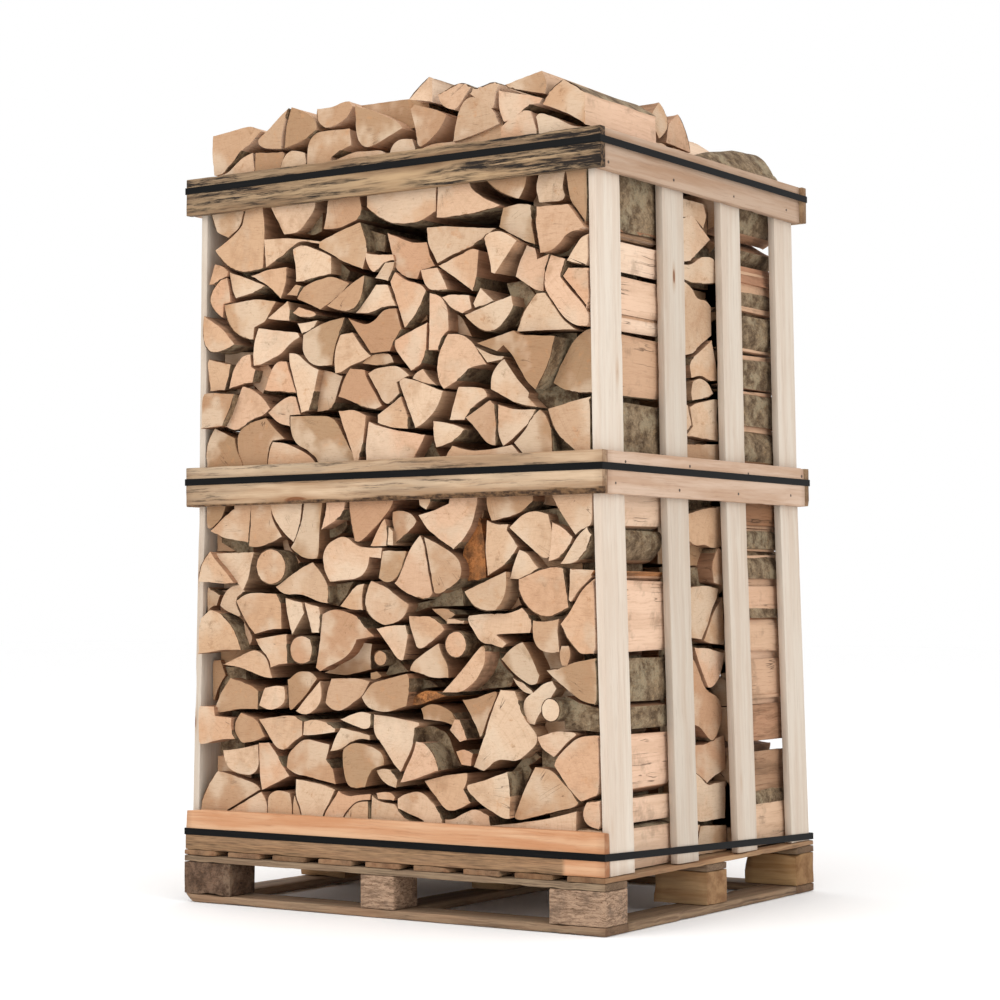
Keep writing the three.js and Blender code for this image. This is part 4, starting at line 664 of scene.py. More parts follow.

# Each line is one log: how far its end stands out, how far its bark bulges from the last corner
# to the first, its tone, and its corners in turn as x,z on the row's face, all in centimetres.
# The tones: l light, p pinkish, t tan, o orange, b brown, a with a torn face, k deeper in, with a brown
# tone and on half of them a dark bark end as painted shade, n lying aslant, so that its bark shows.
# A second letter tells where a flat side keeps its bark: u above, r on the right or d below.
FRONT_LOGS = """
0 0.8 t -54,172 -42.5,172 -44.5,164 -48.6,161.5 -52,163
0 3.0 t -52.6,158.8 -48.4,161 -44.3,163.8 -42.1,172 -38.4,172 -36.9,162.5 -37.4,153.2
0 0 l -37.1,160.1 -29.5,159.9 -20.3,158.3 -20.4,157.7 -26,158.9 -28.6,157.7 -34,154.6 -36.7,153.2
0 1.2 l -21.3,172 -21.5,166 -26.5,160.8 -31,160.7 -37.6,172
0 0 p -41.3,151.5 -36.2,152.7 -30,152.9 -30.1,149.3 -32,145.4 -36.2,149
0 0 l -48,153 -41.6,150.9 -36.6,148.8 -40.5,147.4 -46,146.4 -46.8,147.3
0.5 0 t -52.8,155.4 -50,154.8 -48.3,153.2 -48.6,152.1 -50.5,151.7 -53,150.3 -54.6,150.4
0.5 3.9 p -50.5,151.4 -48.7,151.8 -47.9,149 -47.7,145.7 -49.9,145.3 -50.2,142
0 2.7 t -49.7,145.2 -40,146 -33.7,144.9 -36.4,141 -36.3,140.4 -40.2,138.9 -40.4,136
0 0 l -29.8,144.7 -28.8,142.5 -29.3,139.9 -32,140 -36,140.8
0 0 p -28.2,141.6 -26.5,143 -21,141.3 -20.6,140.5 -26,140.4
0.5 0 l -28.3,157 -25.8,158.1 -20.3,156.1 -16.9,154.4 -16.8,150.2 -22,149.5 -25,149 -27.2,149 -27.3,152
0 0 t -27.3,148.5 -30.2,146.1 -26.9,145.6 -25.5,148
0 0 o -26.9,144.9 -25.2,147.9 -21,149 -16.5,149.7 -11.2,147.5 -16.5,143.5 -20,141.8
2 6.0 p -58,143 -50.3,139.4 -46.3,135.3
0 0 l -38.8,138.7 -26.9,136.9 -26.3,135.8 -29.7,134 -31.8,132 -38.5,129.6 -40.3,129.6 -40.7,132 -40,136
0 0 l -26.8,139 -20.8,139.4 -21.7,137.6 -25.4,136.5
-0.5 0 p -18.8,160.9 -18.2,163.3 -17.2,172 -9.4,172 -7.4,164.5 -8.5,162.3 -14.5,160.6
0 0 o -20.2,158 -15,160 -8.4,161.8 -6.1,154.5 -6.9,152.6 -7.4,150.5 -13,152.6 -17,155 -20.2,156.6
0 0 p -6.4,154.2 -3,153.6 1.4,153.3 2,151.9 -0.6,151.9 -3.6,149.4 -4.4,148.9 -5.3,150.6 -6.6,152.6
0 0 l -3.6,148 -0.7,151.6 1.9,151.5 1.6,149.5 0.2,147.1
0 2.4 p -6.6,165.2 -6.6,172 14.2,172 13.7,162.2 9.6,160.5
-1 0 o -0.2,158.4 7.5,155.4 11,155.4 11.9,152 13.4,149.6 9.3,148.8 8.6,146.8 5.6,147.2 2.2,149.7
0 1.0 p 4.8,135.8 0.7,146.9 2.1,149.1 5.5,146.7 9.6,145.9 11.1,144.1
0 0 l 9.5,148.9 14.2,149.2 16.2,146 17,143.9 11.7,144.1 9.9,146.3
1.5 5.3 o -7.2,149.2 -11,147.4 -17.8,142.6
0 0 l -3.4,146.6 0,146.3 2.4,141.2 -1,141.2 -5.5,139.9 -9.3,140.2 -6,143.5
0 0 o -11.8,139.3 -8.5,137.9 -5.5,137.3 -3.2,138.7 -1,140.7 2.6,140.6 4.1,135.7 1.2,132.2 0.7,130.7
  -4.9,130.5
0 0 l 11.7,143.5 15,142.7 17.2,139.5 17.5,134.4 15.6,133.4 14.4,130.1 11.7,130.1
0 0 l 14.5,172 22.5,172 23.2,167 27,164 31.8,161.9 30.5,161.4 16,160.4 14.1,160.6
0 1.8 o 24.9,172 38.8,172 38.8,166.3 36.7,162.8
0 0 o 32.3,161.2 37.5,161.9 40,161.1 40.1,158 41.2,152.1 38.5,152.9 31.2,156.9
-0.5 0 l 11.3,158.6 16,158.6 30.3,156.8 26,154.6 24,153.2 17,151.3 14,150 11.4,155
0 0 p 14.2,149.5 24.4,153 25.9,152.2 25.2,146 24.1,142.9 19,146.4
2.3 1 l 28.8,155.9 31.5,156.4 36.2,153.5 30,146.4 29,146.7 28.4,150.5 27.5,153.5
-1 0 l 38.8,152.2 41,151.4 41.6,148.9 44.8,149.8 43.4,146 43.2,141.5 41.5,141.4 35.8,145.2 36.6,148
-1 0 l 41,164.5 43,172 50,172 48.2,163.8 49.3,161.7 48.5,161.1 42,161.4
0 0 o 48.4,172 58,172 58,155.4 50.1,161.3
1.5 0.5 l 41.5,160.6 49.7,160.5 58,155 53.4,154.3 50,154.3 46,150.4 42.4,150 41.8,153
0 0 l 53.8,153.6 58,154 58,146.3 49.4,147.8 50.6,149.7
0 0 l 45.1,149.5 49,148.3 47.6,144.4 58,136.2 58,132.9 52,132.9 48.7,134.9 43.6,141.4 43.1,144 44,147
0 0 p 48.1,144.5 49.5,146.3 58,145.8 58,136.8
0 0 l 26,143.6 29.8,140.3 24.7,139 24.2,140
1.5 5 l 34.9,139 34.3,141.3 30,140.2 21.9,137.6
0 0.8 l 15.4,142.2 17.2,142.8 23.2,142.1 23.8,139 21.2,138
0.5 1 l 41.3,141.2 43.4,141.2 48.3,134.6 51.4,132.4 36.2,132.8
0 0 t -58,132.2 -51.4,131.3 -47.5,130.5 -49.6,124.2 -54.3,124.2 -58,128.8
2 0 b -58,123.6 -54,123.9 -46.7,123.2 -50.4,115.5 -54.5,115.2 -58,115
0 0 l -45,131.6 -43.2,132.8 -41.5,132.6 -41.1,129.5 -39.7,128.7 -40.6,125.6 -44,125.3 -48,124.4 -47.1,129
0 0 p -32.5,130.7 -30.1,130.2 -27.3,122.5 -33,123.3 -35,123 -37.3,123.6 -34.7,129
0 0 l -29.6,132.1 -27.3,132.1 -23.1,128.7 -20.7,127.7 -21.9,122.5 -23.4,118 -25.6,117.5 -27.1,122.2
  -29.7,130.4
0 0 o -25.1,136.1 -22.4,137.5 -18,139 -12.8,139.6 -14.6,135.5 -16.1,131 -16.4,128.5 -20.5,128.2
  -23.5,129.4 -25.4,132
0 0 l -13.8,135.5 -10.4,135.9 -7.1,131.7 -5.1,130 -8,128.6 -11.5,127.9 -13.5,126.3 -15.4,126.3 -15.9,129
  -15.2,133
-1 0 t -5,130.2 0.5,130.4 1.4,129.5 1.8,128 -3,127.5 -7.5,128.3
0 0 p 1.3,132.8 4.5,134.4 11,136.8 10.9,130.5 9.7,127 6.8,125.7 4.1,128.5 1.7,131.7
0 0 l 17,133.7 20.5,133.6 23.6,131.6 27.5,126.1 23,125.7 19.5,122.7 16,121 14.6,122.2 13.9,127 15.2,131
0 0 l 24.8,130.2 29.8,127.9 32.6,127.6 32.1,126.8 28,126.3
2.3 1.0 o 40.8,119.6 38.8,121 36.5,124.6 34.5,128 32.2,130.1 30.5,128.8 24.9,131 35.1,133.3 36,132.3
  46.2,131.3
-2 0 b 50.2,129.5 53.5,132.3 58,132.5 58,118.1 48.5,119.1 45.7,120.7 47.2,124.5 49.6,128
0 0 l 30.6,125.9 32.6,127 36.4,122 39.4,119 39.1,117.9 41.5,115.7 35,117.1 30,119.7 28.8,120.3 28.9,123.5
0 0 p 20,121.4 26.5,121 27.8,120.2 28.1,118.8 23.8,116.6 21.5,113.7 17.4,113.8 18.3,117
0 0 l 28.7,117.9 29.9,116.9 29.9,107.5 27.7,107.8 24.1,112.1 21.9,114.2
0 0 l 30.7,116.8 35,115.5 41.1,115.2 39,112.1 33.4,108 31.9,107.3 30.5,109.6
0 0 o 42,115.2 43.5,114.4 45.1,110.8 45.2,101 42,101 35,107.9 38.5,111.1 39.6,113.4
0 1.5 l 43.9,115.2 50,116.6 58,117.4 58,101 50.6,106.2
0 0 l 12.6,113.9 15.5,113.6 20,112.5 21.8,111.6 18.5,108.8 15.8,108 13.6,107.7 12.7,110.5
0 0 t 15,101 16,105.6 18,108 23.5,106.6 30,106.9 34.6,107.6 41.6,101
0 0 l -14.7,117.5 -9.7,117.7 -6.3,116 -6.7,113 -7.2,109.5 -8.6,106.5 -9.9,101 -10.2,106.5 -12.4,111.5
-2.5 0 t -19.7,127.5 -16.5,127 -13.2,125.7 -15,121 -15.4,119.2 -17.5,117.6 -20.8,117.5 -20.4,123
0 0 o -11,127.4 -6.7,126.8 -6.5,125.4 -1.7,118.1 -3.6,117.2 -9.5,119.1 -14.5,120.8 -12.7,125.4
0 0 l -5.9,125.8 -4,127 2.9,127.4 6.3,124.8 2.6,123.3 3.4,120.7 0,118.2 -1.2,118.4
0 0.8 l 3.7,124.5 6.8,123.9 12.5,121.9 15.8,120.7 14.9,118 12.5,115.1 9,112.8 7.6,112.4 6.4,115.5
  4.2,120.2 3.2,123.3
0 0 l 7,123.9 7.5,125.2 10,126.1 12.2,123.5 14,122.1 10,122.8
0 0 p 3.7,120.1 5.9,115 5.7,112.4 1.5,112.6 -2.9,114.1 -3.1,116 0.4,117.9
0 0 l -5.8,114.6 -3.5,113.7 1.5,112.4 10.5,110.9 9.5,108.4 7.3,105.6 7,101 -6,101 -6.7,109
0 0 o -29,116.9 -20,116.7 -16.5,116.3 -15.3,115 -10.4,106.4 -10.4,101 -19,101 -21.3,106.4 -24.5,108.8
  -27.7,110.2 -29.1,113.5
0 0 l -29.6,122 -27.5,121.6 -26.1,117.2 -29.3,117.1 -29.3,114.5 -32.5,115.1 -35.8,118 -34,119.6
0 0 l -44,124.9 -41.7,124.6 -37.5,121.9 -35.1,119.1 -36.6,117.6 -41,116.6 -45.8,114 -49.6,115.4
0 0 o -45.4,113.9 -41.5,116.1 -36.5,116.9 -34.6,115 -30.6,111.6 -34.4,111.3 -35.9,109 -36.8,101 -43,101
  -45.4,108 -45.9,112
0 1.3 b -52.5,115 -46.3,112.5 -45.8,109.3 -43.9,106.5 -43.5,101 -58,101 -58,106.5
0 0 o -34.4,111 -30.3,110.6 -24.8,108.3 -21.7,106 -21.2,101 -36.6,101 -35.5,109
-4 0 k -6,160 -0.5,158 -1,154 -5.5,154.8
-4 0 k 33,144 38,144.5 41,141 36,134 34.8,134 35.2,139
-4 0 k 17.8,139 21,137.5 24,132.5 17.8,134.5
-4 0 k 7.5,105.5 10.5,110.8 12.5,110.5 13.3,107.5 15,105.5
-4 0 k -17,154.6 -13.2,152.3 -11,150.4 -12,147.9 -16.5,150
-4 0 k -26,161 -21.5,165.5 -19,165 -19.3,160.5 -22,159.4
-4 0 k 6,139 9,142 11.4,142 11.4,137.3 5.2,135.2
-3 0 k -40,129 -36,129.8 -34.7,128.5 -37.6,122.5 -41,125.4
0 0 b -58,100 -48,100 -49.9,93.5 -53.5,90.5 -58,90.2 -58,91
0 0 o -49.7,93.3 -46.5,95.3 -46,100 -41.2,100 -42.1,86.9 -50,88.1 -54,89.9
0 0 t -41,100 -35.5,100 -34.6,92 -31.9,88.2 -35,86.7 -39.2,85.6 -42.1,85.9 -41.5,91
0 0 p -35.2,95.2 -34.9,100 -25,100 -26.1,91 -28.1,86.8 -30.5,88.5 -33.4,91.5
0 0 o -24.9,95 -24.5,100 -18.7,100 -20.1,90 -20.3,84 -20.8,82.7 -24,82.6 -27,83.9 -28.9,85.4 -28,86.5
  -25.9,91
0 0 l -18.3,94.5 -18,100 -12.3,100 -12.6,94 -15,91.7 -19.6,89.5
0 0.8 o -11.9,100 1.8,100 1.6,95 -2,91.1 -8.3,86.1 -9.5,86.1
0.5 0 l -13.2,88.2 -11,87.2 -9.2,85.5 -5.5,85.1 -2.2,85.1 -2.5,82.6 -5.8,82.9 -6.4,79.9 -9,77.8
  -17.3,77.2 -19,80 -19.3,84 -17,86.9
0 0 p -1,91.8 -0.2,90 -0.5,85.4 -2,85.3 -5.1,85.4 -2.7,90
-1 0 b 1.3,93.3 3,93.8 6.8,93.1 8.3,91 7.3,89.4 5,88.1 1.9,86 1.8,89 0.9,91
0 0 l 0,89.9 1.4,88.9 1.5,85.5 -0.2,85.5
0 0 l 8.1,100 12.5,100 12.2,95.2 11,93.5 9,94.5
0 0 o -1.7,84.2 0,84.6 5.2,84.2 4.8,82.5 2.8,78.3 1.3,77 -1,76.7 -2.9,77.9
0 0 l 6.9,85.8 8.8,87.8 9.8,86.8 12.8,73.7 12,73 8,73.4 4.6,74.6 1.7,76.7 3.1,78.3 5.6,84.1
0 0 l 10.1,87.3 12.5,86.5 18.4,83.4 20,82 20.9,80 20.4,77.4 16,74.9 14,73.8 13.2,73.8
0 0 l 8.5,92.3 13.5,93.5 17,94.9 17.6,100 24.8,100 24.8,94.5 23.6,90 22,87.4 20.5,85.9 18.5,84.3 11.6,88.5
-3 0 a 23,91 26,91.5 27.1,85 27.2,77.8 22,77 20.6,79 20.6,83.5 22.2,87
0 0 o 27.5,94 27.5,100 40,100 39.9,94.7 37,92.4 34,91.2 29,90.5
0 0 l 27.3,90.8 29.5,89.9 33.4,89.8 33,88.5 36.1,84.8 35,83.1 32.5,80.6 30,79.2 27.9,78.1 26.9,84
0 0 l 33.8,88.9 37,91.8 40.6,92.8 44,91.8 45,88.5 43.8,81.6 42.7,81.5 38.5,84.9
0 0 l 45.1,89.9 47.5,89.1 50.6,86.6 49.9,84.9 47,82 44,81.2 44.6,85
0 0 l 36.4,84 38.8,83.4 40,81.2 41.5,79.8 36.6,77.2 33.9,77.4 34.7,80.3
0 0 l 44.9,95.4 44.3,100 58,100 58,89 53.5,88.4 51.3,87 49.9,88.6 46.6,92.9
0.5 0 lr 51.3,86.4 54.2,88.8 58,87 54.2,83.6 52,81.2 50,80.5 47.2,80.6 50.1,84.5
0 0 l 36.1,77.4 42.3,79.8 46,80.3 47.9,79.8 48.9,74.5 49.4,71.1 47,69.7 43.6,68.7 40.5,69.5 37.6,71.9
  35.9,75
0 0 l 49.6,79.6 58,79.3 58,78.2 52.4,75.1 50,72.2 49.4,72.6
0 0.8 p 47.3,67.4 49.8,70.4 52.8,75.1 58,77.4 58,60.8 52.5,60.8
2 2 l 21.4,74.7 24.5,76.1 29,77.8 32.6,79.2 33.1,76 32.1,72.6 30.2,70.5
0 0 l 21.8,69.2 26,69.7 33.5,69.8 36.6,71.1 38.4,69.4 39.6,67.2 38.9,65.4 32,65.1 30,64.8 32.8,63 31.8,62
  25.6,63.2 22.1,68.3
0 0 p 39.9,68.2 43,67.9 46.9,68.6 46.4,66 46.9,61.2 44,60.8 41,61.7 39.6,64.5
0 0 o 47.4,62.6 49.3,62.7 50.2,60.5 49,58.2 47.6,58.1 46.6,60.5
0 0 p 22.8,62.7 21.7,60 19,58.9 16.2,60 15.1,62.7 16.2,65.5 19,66.5 21.7,65.5
-1.5 0 t 12.3,70.8 17.2,71 19,69.5 16.5,67.8 14.6,69
0 0 l 16.5,68.6 21.5,68.1 21.3,67.4 16.4,67.3
0 4 l -4.9,77.4 -3,76.8 0.2,75.7 3.4,73.2 5.8,71.9 5.4,69.9 2.8,67.7 -1,67
0 0 t -9.4,76.6 -6.9,76.8 -7.7,73.5 -7.3,70.5 -11,70.5 -14.3,71.4
0 0 l -33.5,76.1 -30,78.3 -25.7,80.8 -22.5,82 -20,79.6 -17.9,76.3 -18.1,72.2 -20,72.2 -24,73.7 -27,74.4
  -31,74.2
1 0 o -29.7,81 -31.2,84.6 -35,86.1 -38.8,84.6 -40.4,81 -38.8,77.4 -35,76 -31.2,77.4
0 0 l -52.2,84.5 -40.5,84.7 -41.5,81 -41.7,79 -42.9,76.4 -43.5,75.4 -46.1,77.6 -50,81.6 -52.4,83.4
2 1.2 t -54,85 -52.8,83.3 -50.5,81.3 -46.6,77.3 -49,76.9 -58,77.6
-1 0 b -58,77 -54.3,76 -50.8,74.3 -51.9,71.7 -54.2,71.1 -58,67.8
0 0 l -47.3,76.7 -44.7,76.9 -43.1,75.2 -46.1,73.4 -46.1,72 -44.1,68.8 -44.9,68.8 -50,70.8 -51,71.7
  -49.6,74.8
0 0 t -45.8,72.9 -43,74.6 -39.5,74.9 -33.5,74.6 -32,72.5 -31.9,66.1 -36,65.8 -40,64.8 -41.9,66.5 -43.6,69
2 1.3 t -44.4,60.9 -50,60.9 -58,59.8 -58,68.1 -54.4,70.8 -51.5,70.1
-2 0 l -43.4,67.9 -40.5,64.4 -40.5,63.1 -42.4,61.2 -43,64
0 0 t -39.8,63.7 -35,64.4 -30,65 -30.2,62.5 -30,57.9 -33.5,57.4 -35.2,56.8 -36,59.4 -38,60.8
0 0 o -22,61.2 -22.9,63.9 -25.7,64.9 -28.4,63.9 -29.4,61.2 -28.4,58.5 -25.7,57.4 -22.9,58.5
0 0 l -30.5,73.5 -25.4,72.4 -24.7,69.9 -28.6,64.6 -30.1,69.3
0 0 l -24.9,72.4 -20.4,71.4 -20,69.5 -20.3,65.2 -22.5,65.1 -24.1,69.7
0 0 o -19.7,69.6 -17.5,70.9 -14,70.7 -9.5,69.2 -6.9,66.3 -4.4,64.5 -9.5,63.6 -10.4,61.5 -12.4,59.5
  -20,56.1 -21.3,56.9 -20.2,64
0 0 l -3.6,66.2 0,67 4.9,67.2 5.8,65 5.2,62 4.2,58.3 3.1,58.6 0.4,61.8 -2.4,65
0 0 o 0.4,59.4 -0.4,61.3 -2.3,62.1 -4.2,61.3 -5,59.4 -4.2,57.5 -2.3,56.7 -0.4,57.5
0 0 p 5.8,69.2 12,69.2 15,67.5 16,66.1 14.7,64.9 9.5,61.5 8.1,61.4 5.8,67.5
0 0 p 14.3,63 14.8,61 16.8,58 16.8,55.1 12.8,54.9 6.1,56.6 6.4,58.3 9.5,60.4
-3.5 0 b -58,58.6 -50.6,58.6 -49.1,54.8 -52,51.2 -52.9,48.5 -58,48.5
0 0 p -40,61.4 -38.1,60.4 -36.4,59.2 -35.6,56 -35,54.4 -36.5,54.2 -45,56.8 -50.1,57.4 -46,59.1 -42.5,60.5
0 0 o -47.7,54.3 -45,53.8 -40,52.1 -38.9,51.2 -39.1,46.8 -44.5,46.8 -50,45.8 -52.9,45.7 -51.9,48.3 -50,51.7
0 0 l -37,52.1 -32.5,52.8 -31,52.4 -30.3,50 -31.1,47.9 -35,46.4 -38.6,47.7 -37.9,50
-1 0 b -29.9,54.1 -26.5,56.3 -22,56 -20.8,54.5 -24.7,50 -29.2,46.3 -29.4,46.5
-0.5 0 l -20.2,54 -24.3,50 -27.3,46.6 -24.3,45.5 -20.6,47.6 -19.4,50.5
1.5 0 p -58,47.3 -52.9,47.3 -52.6,45 -47.5,44.6 -47.7,41.5 -46.5,39.5 -51,39.2 -58,37.5 -58,37.5
0.5 2.6 o -44.5,45.9 -39.4,44.6 -37.5,41.6 -36.7,40.4 -40,39 -44,38.6
0 0 l -49.9,36.7 -44.5,37.4 -39.1,38.5 -39,33 -40.5,31 -44,30.8 -48.5,32.2 -49.6,34.5
0 0.8 t -51.9,31.7 -49.5,31.4 -39.2,28.8 -38.6,27.7 -48.7,22.3 -50,12.6 -58,12.6 -58,23
0 0 p -38.7,38.8 -35.7,39.1 -32.9,35.8 -31.4,33.3 -29.5,31.2 -34.3,29 -37.7,27.5 -38.4,30
0 0 l -38.7,44.5 -30,45.7 -27.3,45.6 -25.4,44.3 -25.4,40.9 -29,38.7 -30.4,37.2 -32.5,37.2 -34.3,38.7
  -35.9,41
0 0 t -30.2,36.3 -27.5,38.6 -24.8,40.3 -17.2,39.1 -17.6,36.5 -18.2,35.5 -16.2,33.5 -15.4,29.8 -20,30.5
  -24,31.2 -28,31.7 -30.4,33.2
0 0 l -25,44.2 -22,45 -18.3,44.3 -15.7,42.8 -15.7,42 -22,41 -25.2,41
0 0 t -36.1,26.3 -34.8,27.4 -32.3,28 -29.2,27.3 -28.5,25.3 -28.5,12.6 -35.7,12.6 -36.3,25
0 0 l -27.4,30.6 -24,30.3 -20,29.8 -15.8,28.6 -17.6,25 -19.5,22.7 -19.8,12.6 -25.1,12.6 -25.6,22.5 -27.6,27
0 0 l -17,54.5 -9,54.8 -5.3,54 -7.4,50.4 -9.5,49.4 -13.5,46.9 -16.5,46.9 -18.8,48.6 -18.3,51.5
1.5 0 o -4.8,53.8 -1,54.6 5.3,56 6.1,55 5.8,51.8 5,48.4 -0.5,46.8 -4.5,47.2 -7,48.5 -7.8,50.3
-1 0 b -1.8,55.3 -3.3,56.5 -5.2,56 -5.2,54.4 -3.2,54.2
-1.5 0 a 6.8,50.5 10.3,52.4 13.7,52 16.2,51 12.5,49.9 8,48.5 6.2,48.8
-1.5 0 b 9.2,48 12,49.4 16,48.5 18,47.3 19.3,45 18.5,44.2 15,45.2 10,45.5
0 0 l -14.3,45 -8,47.2 -5,46.5 -5.2,43 -6.3,42.6 -10,43.5
0 0 l -4.6,46.4 -1,46.2 8.8,44.8 8.8,44.1 7.5,43.5 7.1,40 6,37.2 3.4,33.3 1.6,34.7 -1.4,38.6 -4.6,41.9
0 0 l -14.2,43.1 -10,42.4 -5.7,41.5 -5.7,40.4 -9,40.7 -12,39.1 -13.7,38 -17,37.4 -15.9,40.5
1 0 b -11.3,39.6 -8.3,39.7 -5,39 -2.1,37.9 -1.1,36 -1.2,34.7 -4.4,34 -5.7,32.3 -6.7,29.4 -11,28.8
  -12.5,30.1 -13.6,34.7 -13.5,38
0 0 l -3.6,33.5 -0.8,34.2 0.8,33.9 2.6,31.5 2.1,29.6 -0.4,30 -2.4,31.4
2.3 1.2 l 14,34 10,32.6 6.6,31.5 3,30.8 4,33 6.9,37.8 7.8,40.5 9.7,40.4
0 0 l 3.2,28 7.8,29.3 10,28.5 13,25.9 15,23 14.7,12.6 11,12.6 9.6,22.5 2.2,24.9 2.1,27.2
0 0 p 10,31.5 12.3,32.2 16,33.1 21.8,33.8 22.1,32 20.9,30 22.9,27.1 21,25.9 17,24.6 16.2,25
0 0 t -14.8,28.4 -12.5,27.2 -9.7,27.5 -5.4,28 -5.5,26.6 -9.5,26.2 -13.5,22.7 -14.2,12.6 -19.5,12.6
  -19.2,22.5 -16.9,25.5
0 0 p -3.6,28.2 -1,28.8 1,28.6 1.8,27.5 1.3,26.6 -3.2,26.8
0 0 l -5.2,27.7 -3.5,26.4 1.6,25.9 2.4,24.7 4.9,22.5 9.3,21.5 10.7,12.6 -5.8,12.6 -5.6,23
2.3 1 l 26.9,61.2 27,58.5 24.7,54.7 20.5,51.7 15.2,51.7 19.1,55.4 25.5,62.2
0 0 b 31.2,59.5 34,62.1 37.2,63.5 38.5,62 39.9,59.5 41.7,56 40.6,53.5 39.5,53.4 35.1,55.9
-1 0 l 34.5,55.4 39.5,52.9 40.1,51.9 38,51.7 35.6,53.4
-1 0 l 37,49.7 37.6,51.2 40,52.3 42.5,54.4 45,54.9 46.2,53.2 44,50 41.3,47.2 40.3,45 38.6,45.2 37,48
2.4 0 l 47.7,48.4 46.8,51 44.6,52 42.3,51 41.4,48.4 42.3,45.8 44.6,44.8 46.8,45.8
0 0 b 43.2,57.1 47,57.6 50.5,59.1 58,60 58,49.7 53,50.2 50.4,51.7 46.2,54.6
0 0 l 41,42.4 43,43 46,44 51.3,43.6 51.6,43.2 49.4,42.1 45.3,38 41.7,40
0 0 p 52,42.9 58,43.2 58,30.3 52.3,28.5 50.1,30.1 45.2,36.2 45.5,37.6 49.8,41.7
0 1.3 o 25.2,43.1 20.8,50.2 24.8,50.8 29.9,52.6 30.8,52.6 27.8,46.6 26.3,42.7
0 0 l 31.2,52.7 35,52.5 35.9,50.5 36.9,47 40.8,43 40.8,40.9 38,38.5 35,36.5 30.5,37.2 26.5,34.3 23.8,35.1
  25.6,39.5 27.2,43.3 28.3,46.7
2 0 l 21.3,30.9 25.8,32.1 33,34.5 33.7,29 33.6,24 32.3,23.6 25.4,26.9 21.6,30
0 0 p 40.4,35.8 44.8,35.4 46,34.1 52,27.8 51,27.4 35.5,23.5 34.4,23.8 37.2,30.2
-1 0 o 19,38.5 21.5,39.4 23.8,38.2 23.2,35.3 20.5,35.5
-1 0 l 17.2,43.3 18.6,45.8 20,45.8 22.1,41.3 20.2,40.6
0 0 l 17.6,23 20.5,24.7 24,26 27.8,24.4 28.4,22 28.4,12.6 15.2,12.6 15.4,23
0 0 l 35.2,23.1 44,24.6 51.2,26.5 51,22 51,12.6 28.6,12.6 28.6,22.3
0 0 l 58,29 53.8,28.6 52.5,26.5 52.9,24.3 54.3,23 58,22.7
0 0 l 51.3,22.4 58,22.4 58,12.6 51.3,12.6
0 0 t -38.4,27.2 -36.5,25 -35.9,12.6 -49.8,12.6 -48.5,22
0 0 t -28.3,25 -27.8,26.8 -25.8,22.3 -25.3,12.6 -28.3,12.6
0 0 t -13.3,22.4 -9.5,26 -6,26.3 -6,12.6 -14,12.6
-1.5 0 n 48.5,51.7 52,50.2 58,49 58,43.8 48.3,44.2 47.8,46
-4 0 k -46,69 -43.8,66.5 -42.8,61.5 -44.3,61.3 -45.5,66
-3.5 0 k 27.3,61 30,62.6 31,59.2 35,55.5 34,53.3 28,52.8 22,51.9 27,57
-4 0 k 12,44.5 17,42.5 18.5,38 20.3,35.2 15,34.5 14,36 10,41 9,43.8
-4 0 k 33.8,34.5 38.5,36.3 39.5,35 36.5,29.5 34,24.5
-4 0 k 34.2,34.5 37.5,38 40,39.5 42,38 39.5,36.2
-4 0 k -19.8,88.8 -15,91.2 -12.7,93 -12,90.5 -13.5,88.4 -17,87.2
-4 0 k -31.8,87.8 -30,87.5 -29.2,85 -27.2,83.6 -26,82 -29,79.5 -29.5,82 -31,84.8
-4 0 k -17.7,76.5 -10,77.3 -14.5,71.5 -17.9,72
-4 0 k -9.8,61.2 -9,63.2 -4.5,62.8 -5.2,60 -5,56.8 -12,55.2 -19,55.8 -12,59.2
-4 0 k 0.2,61.4 4,58 5.8,56.5 -1.5,55 0.6,57.5
-4 0 k 6.2,55 12,54.6 14,53 10,52.6 6.6,50.8
-4 0 k 26,95 27.2,93 26.8,91.2 25,91.2 24.9,94 25,100 27.3,100
-4 0 k 6.3,71.8 12,72.7 20,76.5 21,75 21.3,71.5 12,71.2 6,69.6
-4 0 k -58,89.6 -50,87.8 -42.3,86.6 -42,85.2 -52,85
-4 0 k 33.4,79.3 34.3,77 35.7,76.8 35.7,74 37,71.6 33,70.2 30.5,70.2 32.8,73
"""

# A thin log in the back row alone, which narrows the lower hole at the far right
LOW_FILLER = """0 0 l -56,23.3 -52.2,31.6 -50.2,32.4 -50.2,33.6 -56,36
"""

